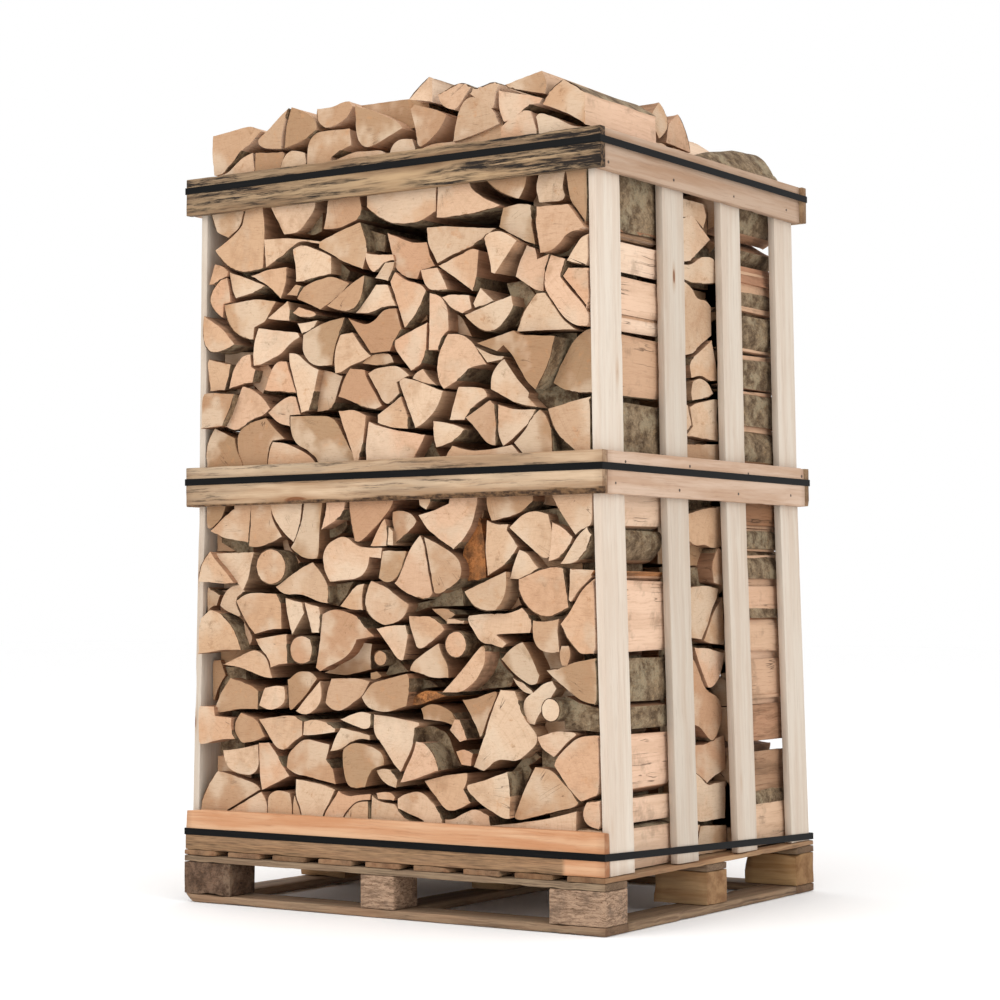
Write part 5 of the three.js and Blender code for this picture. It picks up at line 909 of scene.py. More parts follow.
# The heap's logs above the top rail, in the same form
HEAP_LOGS = """
0.3 0 t -53.6,187.2 -41.2,188.4 -37.7,186.6 -40,185.2 -40.6,184 -44.5,182.7 -50,178 -50,177.4 -53.3,177.3
  -54,182.5
0 0 l -49,177.3 -44.2,181 -41,181.8 -40.4,177.5 -40.4,172.4 -54,172.4 -54,177
0.3 0 l -36.7,186.3 -32.7,189.2 -29.4,191.3 -30.4,189 -31.6,185 -31.7,181.5 -37.3,182.1 -40,184.1
  -39.4,184.9
0 0 o -40.1,181.6 -30.9,180.9 -30.7,180 -32.4,177.5 -32.4,172.4 -40.1,172.4
0.3 0 o -29,191.5 -25.7,190.4 -22,188.4 -20.2,185.3 -21,184.9 -23.8,183.3 -28,182.1 -30.9,181.6 -30.8,186
  -29.7,189.4
0 0 l -30.3,180.4 -28.3,181.1 -24.7,180 -24.2,177.5 -24.2,172.4 -32.1,172.4 -32.1,177.4
0.3 0 o -23.7,182.1 -22,184.3 -19.5,184.6 -11.1,184.3 -10.6,180.2 -13.5,179.4 -16.5,177.9 -16.7,172.4
  -24,172.4 -23.9,180
0.3 1.2 p -20.7,190 -15.2,190 -14,190.8 -11.2,190.8 -10.2,189.5 -11.3,187.1 -15.2,185.3 -18.3,185.1
0.3 0 o -9.4,189.6 -5,188 -0.3,185.9 3.5,184 4.2,182.6 0.3,181 -4.3,179.2 -6,178.7 -8.2,180.1 -9.2,183
0 0 l -9.3,178.8 -7,178.4 -1,178 -0.2,177.5 -0.2,172.4 -16.5,172.4 -16.5,177.1
0 0 l 0.6,177.5 1.3,179.2 3.7,180.3 7,179.8 8.1,177.5 8.1,172.4 0,172.4
0.3 0.8 o 8.5,180 6.5,186.7 7.7,187.7 14,185.8 17,184.1 15.4,181.2 12,178.4 9.5,177.4
0.3 0 lu 6.2,188.9 12.1,193.6 13.1,193.2 13.1,187.5 10,188.2
0.3 0 lu 14.4,189.2 16,189.5 20.5,191.1 22.6,190.8 23.8,189.7 22.6,188.4 20.3,185.6 19.7,184.8 16,185.9
  14.9,187.1
0.3 0 lu 24.3,189.4 26.2,189.3 30.7,190.2 31.7,189.7 30.6,188 30.1,184 29.9,183.5 27.7,184.9 24.6,187.2
  23.4,188.1
0.3 0 l 20.6,185.3 22.8,187.6 24.8,187.5 30,183.9 31.5,180.4 27.4,179.2 21.5,177.9 18.7,177.6 19.5,182
0.3 0 l 31.2,188.1 35.5,187 39.5,186 43.2,184.9 42.5,183.7 40.3,184 37.5,182.5 34,180.7 32.4,180.7
  31.2,183.5
0.3 0.5 p 32.9,189.2 40,190.6 43,191.1 44.4,189.5 44.5,187.5 43.9,185.7 39.7,186.6 35.5,187.9
0.3 0 pu 48.7,188.5 45,186.1 43.2,183.4 50.5,180.2 58,177.6 58,184.8
0 0 t 34.2,181.2 37.7,183 40,182.4 41.6,177.7 41.6,172.4 32,172.4 32,179.6
0 0 l 41,181.6 42,182 47,180 51.3,177.5 58,177.2 58,172.4 42,172.4 42,177.7
0 0 t 18.4,177.9 21.5,178.3 27.4,179.7 31.7,180.8 31.7,172.4 8.5,172.4 8.5,176.8 12.5,178
-4 0 b -9,189.5 6.5,189.2 12,188.5 12,182.5 4,182 -4,184
"""

# Ends of the middle row's crosswise logs, as y,z on the crate's right side
SIDE_LOGS = """
0 0 l -5.3,167.2 6,167.2 7.5,164.3 6,161.2 2,163.2 -4.7,162.7 -9,163
0 0 l -9,162 -4.7,162.2 0.5,164 5.5,161.1 9.2,159 1.8,154.1 0,152.6 -9,151.6
2 0 l -9,151.2 0,151.9 4.5,154.4 10,154.8 15,149.9 13.5,149.1 0.5,147.7 -9,148.8
0 0 l -4.2,147.9 1,146.6 3,144.3 8.5,144.3 10.8,143 10.8,136 4,132.9 1,130.9 -4,129.9 -7,138
0 0.5 t 1.5,130.2 9.8,134.9 12,128.5 12,125.2 9,124.7 5,126 0.2,125 -0.5,128
0.5 0 l 0,124.2 3.5,125.4 7.8,124.5 10.4,122 5,120.4 0,119.6 -1,121.5
0 0 l 0.5,118.9 11,120.8 13.8,120.8 12,118 13,110.6 -3.3,111.1 0.1,113.5 -1.4,118
0 0 l -9,120.8 -2,118.4 -0.5,113.8 -4,111.6 -9,112
0 0 t -9,109 13,110 15,101 -9,101
1.2 0.8 p 14.5,95.1 15,85.4 10,84.8 5,85.7 1.5,85.1 -7,88 -7,91.8
2 1.2 l 13,84 13.2,76 9,76.6 8,81 10,84
0 0 l -7,75.4 6,76.1 12.8,75.3 12,73.1 9.5,70.7 7,66.6 4,63.2 -7,64.2
0 0 t 9.8,69.9 14.5,73.3 14.8,61.7 7.4,62.2 4.5,62.9 7.5,66.8
0.5 0 l 0.6,61.4 6.5,61.3 15,59.8 12.3,54.1 8.5,51.7 6.5,51.7 2.4,57.5
0.5 1 b 6.7,39.8 2.3,42.8 -7,44.5 -7,60 0.4,58.9 6,51.4 12.3,49.4 14.2,47.4 14.2,43.6 11,40.1
0 0 o -7,38.4 6,38.5 11,39.7 14.8,40.2 14.8,32.1 8.5,30.4 6,29.2 2.4,31.4 -7,35.5
0 0 l -7,35 2.3,31.2 6,28.8 14.8,29.4 14.8,20.4 2.5,20.2 -7,24
0 0 l -7,20 2,19.9 0.6,17 -7,12.6
0 0 o 2.7,19.4 6.5,19.4 14.8,18.8 14.8,12.6 0.6,12.6
"""
# Logs that lie crosswise on top of the middle row
MIDDLE_HEAP_LOGS = """
0 0 l -15.2,172 -1,172 -0.4,180.4 -2,181 -13,180.6
0 0 t -0.2,172 15.2,172 15.2,179 9,180.2 0.2,180.4
0 4.6 t -7,181.3 -11.6,185.7 -7,190.1
0 1 l 9.6,180.6 -2.2,181.2 -1.5,186 3,189
"""

# What the logs show through the gaps between the slats of the right side, from the top down:
# from which height in centimetres, and which skin
FRONT_WALL = ((160, BARK), (157, SPLIT), (119, SIDE), (110, SPLIT), (107, BARK), (89, SIDE), (80, BARK),
              (74, TORN), (60, SIDE), (41, BARK), (0, SIDE))
BACK_WALL = ((164, SPLIT), (149, SIDE), (143, BARK), (136, SPLIT), (114, BARK), (104, SIDE), (88, SPLIT),
             (79, BARK), (71, SIDE), (66, BARK), (47, SIDE), (38, SPLIT), (16, SIDE), (0, BARK))


def wall_skin(bands, z):
    return next(skin for foot, skin in bands if z >= foot * CM)


def middle_of(points):
    return sum(p[0] for p in points) / len(points), sum(p[1] for p in points) / len(points)


def logs_of(text):
    """The logs of a list: how far out, bulge, tone and corners, in metres"""
    found = []
    for line in text.strip().replace("\n  ", " ").split("\n"):
        out, bulge, tone, *corners = line.split()
        pairs = [tuple(float(value) * CM for value in corner.split(",")) for corner in corners]
        found.append((float(out) * CM, float(bulge) * CM, tone, pairs))
    return found


def area_of(points):
    count = len(points)
    return sum(points[i][0] * points[(i + 1) % count][1] - points[(i + 1) % count][0] * points[i][1]
               for i in range(count)) / 2


def sighted(out, corners, inset=0.0):
    """An end's corners moved along the line of sight and kept inside the walls"""
    share = out / SIGHT_RANGE
    moved = []
    for x, z in corners:
        px, pz = x + share * (SIGHT[0] - x), z + share * (SIGHT[1] - z)
        limit = wall_half(pz) - LOG_CLEAR - inset
        moved.append((min(max(px, -limit), limit), pz))
    return moved


WALL_NEAR = 14 * MM
ANY_BARK = 0.75
ROUND = 0.89
ROUND_BULGE = 0.5 * MM
LEFT_BULGE = 5 * MM
SHORT_SIDE, SHORT_LETTERED = 22 * MM, 2 * MM


def on_wall(ax, az, bx, bz):
    """Whether a side of an end lies along one of the crate's walls"""
    return max(wall_half(az) - abs(ax), wall_half(bz) - abs(bx)) < WALL_NEAR


def barked_sides(corners, bulge, letter, rng):
    """Which sides of an end carry bark, and how far each bulges"""
    count = len(corners)
    if bulge > 0:
        return {count - 1: bulge}
    around = sum(math.dist(corners[i - 1], corners[i]) for i in range(count))
    if 4 * math.pi * abs(area_of(corners)) / around ** 2 > ROUND:
        return {i: ROUND_BULGE for i in range(count)}
    wanted = {"u": (0.0, 1.0), "r": (1.0, 0.2), "d": (0.2, -1.0)}.get(letter)
    if not wanted:
        wanted = (0.9, -0.8 if corners[0][1] > SIGHT[1] else 0.5)
        if rng.random() > ANY_BARK:
            return {}
    scores = []
    for i, (ax, az) in enumerate(corners):
        bx, bz = corners[(i + 1) % count]
        length = math.hypot(bx - ax, bz - az)
        if length > (SHORT_LETTERED if letter else SHORT_SIDE) and not on_wall(ax, az, bx, bz):
            scores.append((((bz - az) * wanted[0] - (bx - ax) * wanted[1]) / length, i, length))
    if letter:
        return {i: 0.04 * length for score, i, length in scores if score > 0.5}
    score, i, length = max(scores, default=(0, 0, 0))
    return {i: min(LEFT_BULGE, 0.07 * length)} if score > 0.35 else {}


BLUNT = math.radians(50)
ROUNDING = 15 * MM
ROUNDS_WHOLE, ROUNDS_CORNER = 16, 4


def softened(points, corners):
    """Blunt corners of a rim are rounded off"""
    blunt = []
    count = len(corners)
    for i, (bx, bz) in enumerate(corners):
        ax, az = corners[i - 1]
        cx, cz = corners[(i + 1) % count]
        turn = math.atan2(cz - bz, cx - bx) - math.atan2(bz - az, bx - ax)
        turn = abs((turn + math.pi) % (2 * math.pi) - math.pi)
        if turn < BLUNT:
            blunt.append((bx, bz))
    whole = len(blunt) == count
    for _ in range(ROUNDS_WHOLE if whole else ROUNDS_CORNER):
        moved = []
        for i, (x, z) in enumerate(points):
            near = whole or any(abs(x - bx) + abs(z - bz) < ROUNDING for bx, bz in blunt)
            middle = middle_of((points[i - 1], points[(i + 1) % len(points)]))
            moved.append(middle_of(((x, z), middle)) if near else (x, z))
        points = moved
    return points


RIM_STEP = 8 * MM
BARK_THICK = 3.4 * MM
BARK_LUMP = 1.2 * MM
WAVE = (0.4 * MM, 1.6 * MM)
CORNER_WEAR = 0.8 * MM
WALL_CORNER, WALL_WAVE = 6 * MM, 1.5 * MM


def rim_of(corners, bulge, rng, letter="", bands=None, side=SPLIT):
    """Points round an end against the clock, the skin of each stretch, and the bark's inner points"""
    if area_of(corners) < 0:
        corners = corners[::-1]
    points, skins, inward = [], [], []
    count = len(corners)
    barks = barked_sides(corners, bulge, letter, rng)
    for i, (ax, az) in enumerate(corners):
        bx, bz = corners[(i + 1) % count]
        length = math.hypot(bx - ax, bz - az)
        if length < 1e-5:
            continue
        out_x, out_z = (bz - az) / length, -(bx - ax) / length
        arch_height = barks.get(i, 0.0)
        at_wall = bands and on_wall(ax, az, bx, bz)
        skin = wall_skin(bands[ax > 0], (az + bz) / 2) if at_wall else side
        if i in barks:
            skin = BARK
        steps = max(1, round((length + 2 * arch_height) / RIM_STEP))
        wave, shift = rng.uniform(*WAVE), rng.uniform(0, 40)
        for k in range(steps):
            t = k / steps
            arch = 4 * t * (1 - t)
            bump = noise.noise(Vector((t * length * 45, shift, 7)))
            pull = wave * min(1.0, 3 * arch) * (0.6 + bump) + (CORNER_WEAR if k == 0 else 0.0)
            if i in barks:
                pull = -arch * arch_height - BARK_LUMP * arch * bump
            elif at_wall:
                uneven = noise.noise(Vector((az * 60, t, 3))) + 1
                pull = WALL_CORNER * (1 - arch) ** 3 + WALL_WAVE * uneven
            points.append((ax + t * (bx - ax) - out_x * pull, az + t * (bz - az) - out_z * pull))
            skins.append(skin)
            fade = 1.0 if len(barks) == count else min(1.0, 6 * t, 6 * (1 - t))
            thick = BARK_THICK * fade * rng.uniform(0.7, 1.1) if i in barks else 0.0
            inward.append((-out_x * thick, -out_z * thick))
    points = softened(points, corners)
    inner = {i: (points[i][0] + dx, points[i][1] + dz) for i, (dx, dz) in enumerate(inward) if dx or dz}
    return points, skins, inner


RINGS = [0.0, 1.5, 5.0, 12.0, 26.0, 46.0, 75.0, 115.0, 170.0, 240.0, 313.0]
ROUGH_NEAR_END = {1: 0.25, 2: 0.6}
# The k logs' brown tone is painted shade for the logs that lie deeper in
WARMTH = {"l": 0.2, "p": 0.55, "t": 0.62, "o": 0.85, "b": 1.0, "a": 1.0, "k": 0.9, "n": 1.0}
WARMTH_SPREAD = 0.14
PITH_OUT = 75 * MM
END_TILT = 0.045
BEND_ACROSS, BEND_DOWN = 4 * MM, 3 * MM
TAPER = (0.01, 0.07)
SAW_WEAR, SAW_NOTCH = 0.5 * MM, 3.2 * MM
# How deep into the gaps between the logs the painted shade on their sides grows to full strength
GAP_SHADE_DEEP = 30 * MM


def pith_of(rim, skins, rng):
    """The tree's heart: across from the bark, or somewhere outside a log without any"""
    ca, cz = middle_of(rim)
    barked = [p for p, skin in zip(rim, skins) if skin == BARK]
    if not barked:
        turn = rng.uniform(0, 2 * math.pi)
        return ca + PITH_OUT * math.cos(turn), cz + PITH_OUT * math.sin(turn)
    if len(barked) >= 0.8 * len(rim):
        return ca, cz
    ba, bz = middle_of(barked)
    return max(rim, key=lambda p: math.hypot(p[0] - ba, p[1] - bz))


def hollowed(a, z, depth, skin, seed):
    """How far a log's side is drawn in at a point: by riven fibres, or by the bark's lumps"""
    along, deep = (26, 3.0 * MM) if skin == BARK else (5, 1.9 * MM)
    rough = (noise.noise(Vector((a * 34, z * 34, depth * along)) + seed) + 0.55) * deep
    if skin != BARK:
        fibre = noise.noise(Vector((a * 130, z * 130, depth * 7)) + seed)
        rough += (fibre + 0.4) * 0.9 * MM
    return max(0.0, rough)


class Pile:
    """Logs gathered into one mesh; every log keeps its own tint and the place of its pith"""

    def __init__(self):
        self.points, self.faces, self.skins, self.pith = [], [], [], []
        self.tints, self.warmth, self.dust_and_shade = [], [], []

    def add(self, rim, skins, inner, place, rng, tone, long=LOG_LONG, lean=0.0, tints=(0.0, 1.0)):
        """One log: its rim carried back ring by ring, each a little rough, then its two sawn ends"""
        count = len(rim)
        ca, cz = middle_of(rim)
        pa, pz = pith_of(rim, skins, rng)
        tilt_a, tilt_z = rng.uniform(-1, 1) * END_TILT, rng.uniform(-1, 1) * END_TILT
        lift = min(tilt_a * (p[0] - ca) + tilt_z * (p[1] - cz) for p in rim)
        bend_a, bend_z = rng.uniform(-1, 1) * BEND_ACROSS, abs(rng.uniform(-1, 1)) * BEND_DOWN
        taper = rng.uniform(*TAPER)
        seed = Vector([rng.uniform(0, 90) for _ in range(3)])
        tint = rng.uniform(*tints)
        warm = min(1.0, max(0.0, WARMTH[tone] + rng.uniform(-1, 1) * WARMTH_SPREAD))
        first = len(self.points)

        def sawn_depth(a, z):
            return tilt_a * (a - ca) + tilt_z * (z - cz) - lift

        def keep(a, depth, z, dust_and_shade=0.0):
            self.points.append(place(a, depth, z - lean * (depth / long) ** 2))
            self.dust_and_shade.append(dust_and_shade)
            self.pith.append((a - pa, z - pz, depth + seed.x))
            self.tints.append(tint)
            self.warmth.append(warm)

        last_ring = len(RINGS) - 1
        for ring, deep in enumerate(RINGS):
            deep *= MM * long / LOG_LONG
            share = deep / long
            for (a, z), skin in zip(rim, skins):
                depth = sawn_depth(a, z) * (1 - share) + deep if ring < last_ring else long
                length = math.hypot(a - ca, z - cz) or 1.0
                if ring == 0:
                    notch = noise.noise(Vector((a * 90, z * 90, 0)) + seed) - 0.15
                    pull = SAW_WEAR + SAW_NOTCH * max(0.0, notch)
                else:
                    pull = hollowed(a, z, depth, skin, seed) * ROUGH_NEAR_END.get(ring, 1.0)
                    pull += length * taper * share
                # Painted shade on a log's sides, darker the deeper they reach into the gaps between the logs,
                # and none where a side shows at a wall
                dust_and_shade = min(1.0, 0.25 + deep / GAP_SHADE_DEEP) if skin != SIDE else 0.0
                side, below = (1 if a > ca else -1), (1 if z > cz else -0.2)
                keep(a - (a - ca) / length * pull - side * bend_a * share * (1 - share), depth,
                     z - (z - cz) / length * pull - below * bend_z * share, dust_and_shade)
        for ring in range(last_ring):
            one, two = first + ring * count, first + (ring + 1) * count
            for i in range(count):
                j = (i + 1) % count
                self.faces.append((one + i, two + i, two + j, one + j))
                self.skins.append(TORN if tone == "a" and skins[i] != BARK else skins[i])

        # The sawn end, with the bark's cut edge round it
        cap = []
        for i in range(count):
            if i in inner:
                a, z = inner[i]
                cap.append(len(self.points))
                keep(a, sawn_depth(a, z), z)
            else:
                cap.append(first + i)
        for i in range(count):
            j = (i + 1) % count
            edge = [first + i, first + j]
            edge += [cap[k] for k in (j, i) if cap[k] != first + k]
            if len(edge) > 2:
                self.faces.append(tuple(edge))
                self.skins.append(RIM)
        self.faces.append(tuple(cap))
        # An n log lies aslant, so its bark shows on its end; half of the k logs get the same dark bark end as
        # painted shade
        aslant_and_shaded = tone == "n" or tone == "k" and rng.random() < 0.5
        self.skins.append(TORN if tone == "a" else BARK if aslant_and_shaded else SAWN)
        foot = first + last_ring * count
        self.faces.append(tuple(foot + i for i in reversed(range(count))))
        self.skins.append(SAWN)

    def piece(self, name):
        mesh = bpy.data.meshes.new(name)
        mesh.from_pydata(self.points, [], self.faces)
        for skin in log_skins:
            mesh.materials.append(skin)
        mesh.polygons.foreach_set("material_index", self.skins)
        pith = mesh.attributes.new("pith", "FLOAT_VECTOR", "POINT")
        pith.data.foreach_set("vector", [value for triple in self.pith for value in triple])
        for label, values in (("tint", self.tints), ("warmth", self.warmth), ("dust_and_shade", self.dust_and_shade)):
            mesh.attributes.new(label, "FLOAT", "POINT").data.foreach_set("value", values)
        mesh.shade_smooth()
        mesh.set_sharp_from_angle(angle=math.radians(34))
        mesh.validate()
        return laid(name, mesh)


def wood_shade(wire, light, mid, warm, dark):
    """Colour of a log: from pale to orange by its warmth, lighter or darker by its tint"""
    warmth, tint = wire.kept_value("warmth"), wire.kept_value("tint")
    colour = warmth.ramp(0.0, 0.6).tint(rgb(*light), rgb(*mid))
    colour = warmth.ramp(0.6, 1.0).tint(colour, rgb(*warm))
    own = wire.joined(0.0, 0.0, wire.kept_vector("pith").split(2) * 0.9)
    rosy = rgb(light[0], mid[1] * 0.97, mid[2] * 0.97)
    colour = (own.noise(1.0, 1.0).ramp(0.44, 0.62) * 0.35).tint(colour, rosy)
    colour = (own.noise(1.7, 1.0).ramp(0.48, 0.66) * 0.45).darken(colour, rgb(0.90, 0.87, 0.82))
    return (tint.ramp(0.55, 1.15) * 0.5).tint(colour, rgb(*dark))


def sawn_end():
    """A sawn end: growth rings round the pith, drying cracks, saw marks and grey smudges"""
    material, wire = new_material("sawn beech end")
    pith = wire.kept_vector("pith")
    place = wire.place()
    a, z = pith.split(0), pith.split(1)
    blotch = place.noise(16.0, 4.0, 0.6)
    radius = wire.math("POWER", a * a + z * z, 0.5) + blotch * 0.004
    angle = wire.math("ARCTAN2", z, a)
    rings = wire.joined(radius * 210.0, angle * 2.5, pith.split(2) * 9.0).noise(1.0, 4.0, 0.75)
    rays = wire.joined(angle * 30.0, radius * 9.0, pith.split(2) * 4.0).noise(1.0, 3.0, 0.7)
    cracks = wire.joined(angle * 7.0, radius * 4.0, pith.split(2) * 7.0).noise(1.0, 1.0, 0.5)
    crack = 1.0 - wire.math("ABSOLUTE", cracks - 0.5).ramp(0.0, 0.006)
    crack = crack * place.noise(15.0, 2.0).ramp(0.58, 0.66)
    colour = wood_shade(wire, (0.845, 0.73, 0.615), (0.785, 0.64, 0.51), (0.655, 0.525, 0.40),
                        (0.60, 0.465, 0.345))
    colour = (rings.ramp(0.44, 0.70) * 0.2).tint(colour, rgb(0.62, 0.46, 0.33))
    colour = (rays.ramp(0.5, 0.72) * 0.22).darken(colour, rgb(0.80, 0.70, 0.60))
    colour = (blotch.ramp(0.46, 0.68) * 0.6).tint(colour, rgb(0.66, 0.50, 0.37))
    bruise = place.noise(38.0, 4.0, 0.7).ramp(0.56, 0.70)
    colour = (bruise * 0.45).tint(colour, rgb(0.76, 0.55, 0.38))
    colour = (place.noise(8.0, 3.0).ramp(0.48, 0.64) * 0.5).tint(colour, rgb(0.87, 0.79, 0.69))
    saw = wire.joined(a * 26.0 + z * 420.0, z * 26.0 - a * 40.0, pith.split(2)).noise(1.0, 4.0, 0.75)
    colour = (saw.ramp(0.50, 0.74) * 0.38).darken(colour, rgb(0.72, 0.59, 0.48))
    specks = place.noise(150.0, 3.0, 0.8).ramp(0.64, 0.74)
    colour = (specks * 0.55).darken(colour, rgb(0.55, 0.42, 0.33))
    smudge = place.noise(19.0, 6.0, 0.8).ramp(0.57, 0.72)
    colour = (smudge * 0.6).tint(colour, rgb(0.47, 0.38, 0.29))
    colour = (crack * 0.8).tint(colour, rgb(0.28, 0.19, 0.12))
    height = saw * 1.1 + rays * 0.4 + rings * 0.4 - crack * 2.0 + blotch * 0.6
    finished(wire, colour, 0.86, height, 0.7, 1.1 * MM)
    return material


def split_face(name, light, mid, warm, dark, ragged=1.0, streaky=0.6, dirt=0.5):
    """A riven face: long fibres that run down the log, darker and greyer streaks, and painted shade deeper in
    the gaps between the logs
    """
    material, wire = new_material(name)
    pith = wire.kept_vector("pith")
    place = wire.place()
    a, z, deep = pith.split(0), pith.split(1), pith.split(2)
    wavy = place.noise(14.0, 2.0) * 0.012
    lines = wire.joined(a + wavy, z + wavy, deep)
    fibres = lines.stretched(230.0, 230.0, 8.0).noise(1.0, 4.0, 0.72)
    bands = lines.stretched(40.0, 40.0, 4.5).noise(1.0, 4.0, 0.62)
    splits = lines.stretched(38.0, 38.0, 1.1).noise(1.0, 2.0, 0.5)
    split = 1.0 - wire.math("ABSOLUTE", splits - 0.5).ramp(0.0, 0.010)
    split = split * place.noise(9.0, 2.0).ramp(0.5, 0.6)
    colour = wood_shade(wire, light, mid, warm, dark)
    colour = (bands.ramp(0.42, 0.68) * (0.9 * streaky)).tint(colour, rgb(*dark))
    colour = (fibres.ramp(0.48, 0.76) * streaky).darken(colour, rgb(0.66, 0.53, 0.42))
    grime = place.noise(13.0, 4.0, 0.7).ramp(0.52, 0.70)
    colour = (grime * dirt).tint(colour, rgb(0.42, 0.33, 0.25))
    colour = (split * 0.7).tint(colour, rgb(0.26, 0.18, 0.12))
    # Painted shade: the sides darken with their depth into the gaps between the logs
    colour = (wire.kept_value("dust_and_shade") * 0.3).darken(colour, rgb(0.72, 0.64, 0.57))
    height = fibres * 1.3 * ragged + bands * 1.4 - split * 1.5
    finished(wire, colour, 0.88, height, 0.8, 1.6 * MM * ragged)
    return material


log_skins = [
    sawn_end(),
    split_face("riven beech", (0.80, 0.66, 0.53), (0.73, 0.57, 0.45), (0.60, 0.45, 0.33), (0.44, 0.33, 0.24)),
    bark_face("beech bark", (0.59, 0.505, 0.40), (0.35, 0.28, 0.21), 0.13),
    bark_face("cut bark edge", (0.40, 0.29, 0.20), (0.22, 0.15, 0.10), 0.0),
    split_face("torn inner bark", (0.85, 0.62, 0.42), (0.80, 0.56, 0.36), (0.78, 0.52, 0.31),
               (0.42, 0.29, 0.19), 1.6, 0.9),
    split_face("smooth riven side", (0.90, 0.80, 0.70), (0.87, 0.74, 0.63), (0.77, 0.62, 0.50),
               (0.72, 0.57, 0.45), 0.7, 0.35, 0.35),
]


def crosses_rail(points):
    low, high = min(p[1] for p in points), max(p[1] for p in points)
    return any(low < top and high > foot for foot, top in RAIL_HEIGHTS)


def row_log(pile, log, turn, rng, bands=None, inset=0.0, **how):
    """One lengthwise log of a row: turn is 1 for the front row and -1 for the back one"""
    out, bulge, tone, corners = log
    tone, letter = tone[0], tone[1:]
    if crosses_rail(sighted(out, corners)):
        out = min(0.0, out)
    face = ROW_FACE + out
    corners = sighted(out, corners, inset)
    long = face - (ROW_FACE - LOG_LONG)
    rim, skins, inner = rim_of(corners, bulge, rng, letter, bands, SPLIT if bands else SIDE)

    def place(a, depth, z):
        return turn * a, turn * (depth - face), z

    pile.add(rim, skins, inner, place, rng, tone, long=long, **how)


BACK_INSET = 7 * MM
COLUMN_START, COLUMN_WIDE = -56 * CM, 37 * CM
LEVELS = (58 * CM, 100 * CM, 137 * CM)


def row_pieces(logs, turn, bands, names, node, seed):
    """The logs between the rails, gathered by where they lie"""
    rng = random.Random(seed)
    piles = {}
    for log in logs:
        centre, height = middle_of(log[3])
        column = min(2, max(0, int((centre - COLUMN_START) / COLUMN_WIDE)))
        key = (column, sum(height > level for level in LEVELS))
        inset = rng.uniform(0, BACK_INSET) if turn < 0 else 0.0
        row_log(piles.setdefault(key, Pile()), log, turn, rng, bands, inset)
    for number, key in enumerate(sorted(piles)):
        piece = piles[key].piece(f"{names}_{number + 1}")
        dressed(piece, None, "split_firewood", *([node] if number == 0 else []))


INNER_CLEAR = 36 * MM
INNER_INSET = 17 * MM
INNER_OUT = (-60 * MM, -34 * MM)
INNER_FOOT, INNER_TOP = 180 * MM, 1600 * MM
INNER_GAP = 2 * MM


def inner_logs(side, turn, holes, rng):
    """Logs lying deeper in along one wall, behind the ones whose ends show"""
    pile = Pile()
    z = INNER_FOOT
    while z < INNER_TOP:
        high = rng.uniform(0.07, 0.12)
        wide = rng.uniform(0.10, 0.13)
        outer = wall_half(z) - INNER_CLEAR
        shares = ((0, 0), (0.5, rng.uniform(-0.05, 0)), (1, 0.1), (1, 0.95), (0.4, 1), (0, 0.97))
        corners = [(side * turn * (outer - p * wide), z + q * high) for p, q in shares]
        if not any(z < top and z + high > foot for foot, top in holes):
            row_log(pile, (rng.uniform(*INNER_OUT), 0.0, "k", corners), turn, rng, inset=INNER_INSET)
        z += high + INNER_GAP
    return pile


# Heights at which one can see through the stack at the far right
HOLES = ((1.585, 1.60), (0.385, 0.40))
any_wall = ((0, SIDE),)
row_pieces(logs_of(FRONT_LOGS), 1, (any_wall, FRONT_WALL), "front_logs", "front_log_row", 5)
row_pieces(logs_of(FRONT_LOGS + LOW_FILLER), -1, (BACK_WALL, any_wall), "back_logs", "back_log_row", 6)
rng = random.Random(15)
for row, turn in (("front", 1), ("back", -1)):
    for name, side in (("right", 1), ("left", -1)):
        holes = HOLES if (row, name) == ("back", "right") else ()
        pile = inner_logs(side, turn, holes, rng)
        dressed(pile.piece(f"{row}_inner_logs_{name}"), None, "split_firewood")

# Heap
# The last logs, laid loosely on the stack above the top rails. The front ones are pieces of their
# own; behind them lie two more rows of the same kind, and at the far right a log still in its bark.

LOOSE = [0, 2, 4, 7, 8, 11, 12, 13, 17, 18]
# The heap's logs take their tints from a darker range: painted shade against the light they catch from above
HEAP_SHADED_TINTS = (0.6, 1.25)
FAR_RIGHT = 2
BARKED_LEAN = 45 * MM
BARKED_LOG = """
0 8 b -53,178 -38,178.5
0 5 b -54.5,175 -47,176
"""
heap = logs_of(HEAP_LOGS)
rng = random.Random(9)
for i, index in enumerate(LOOSE):
    pile = Pile()
    row_log(pile, heap[index], 1, rng, tints=HEAP_SHADED_TINTS)
    dressed(pile.piece(f"heap_log_{i + 1}_wood"), None, "split_firewood", f"heap_log_{i + 1}")
pile = Pile()
for index, log in enumerate(heap):
    if index not in LOOSE:
        row_log(pile, log, 1, rng, tints=HEAP_SHADED_TINTS)
dressed(pile.piece("front_heap_logs"), None, "split_firewood")
pile = Pile()
for log in heap[FAR_RIGHT:]:
    row_log(pile, log, -1, rng, tints=HEAP_SHADED_TINTS)
for log in logs_of(BARKED_LOG):
    row_log(pile, log, -1, rng, lean=BARKED_LEAN)
dressed(pile.piece("back_heap_logs"), None, "split_firewood")

# Middle row
# Logs that lie crosswise between the two other rows: their ends show through the gaps between
# the slats, and a few lie on top.


INNER_BACK = 34 * MM
INNER_LONG = 200 * MM
CROSS_LONG = 325 * MM
CROSS_FACES = (500 * MM, 165 * MM, -170 * MM)
# The ends were sighted aslant, so an end that stands out counts for less
OUT_SHARE = 0.2


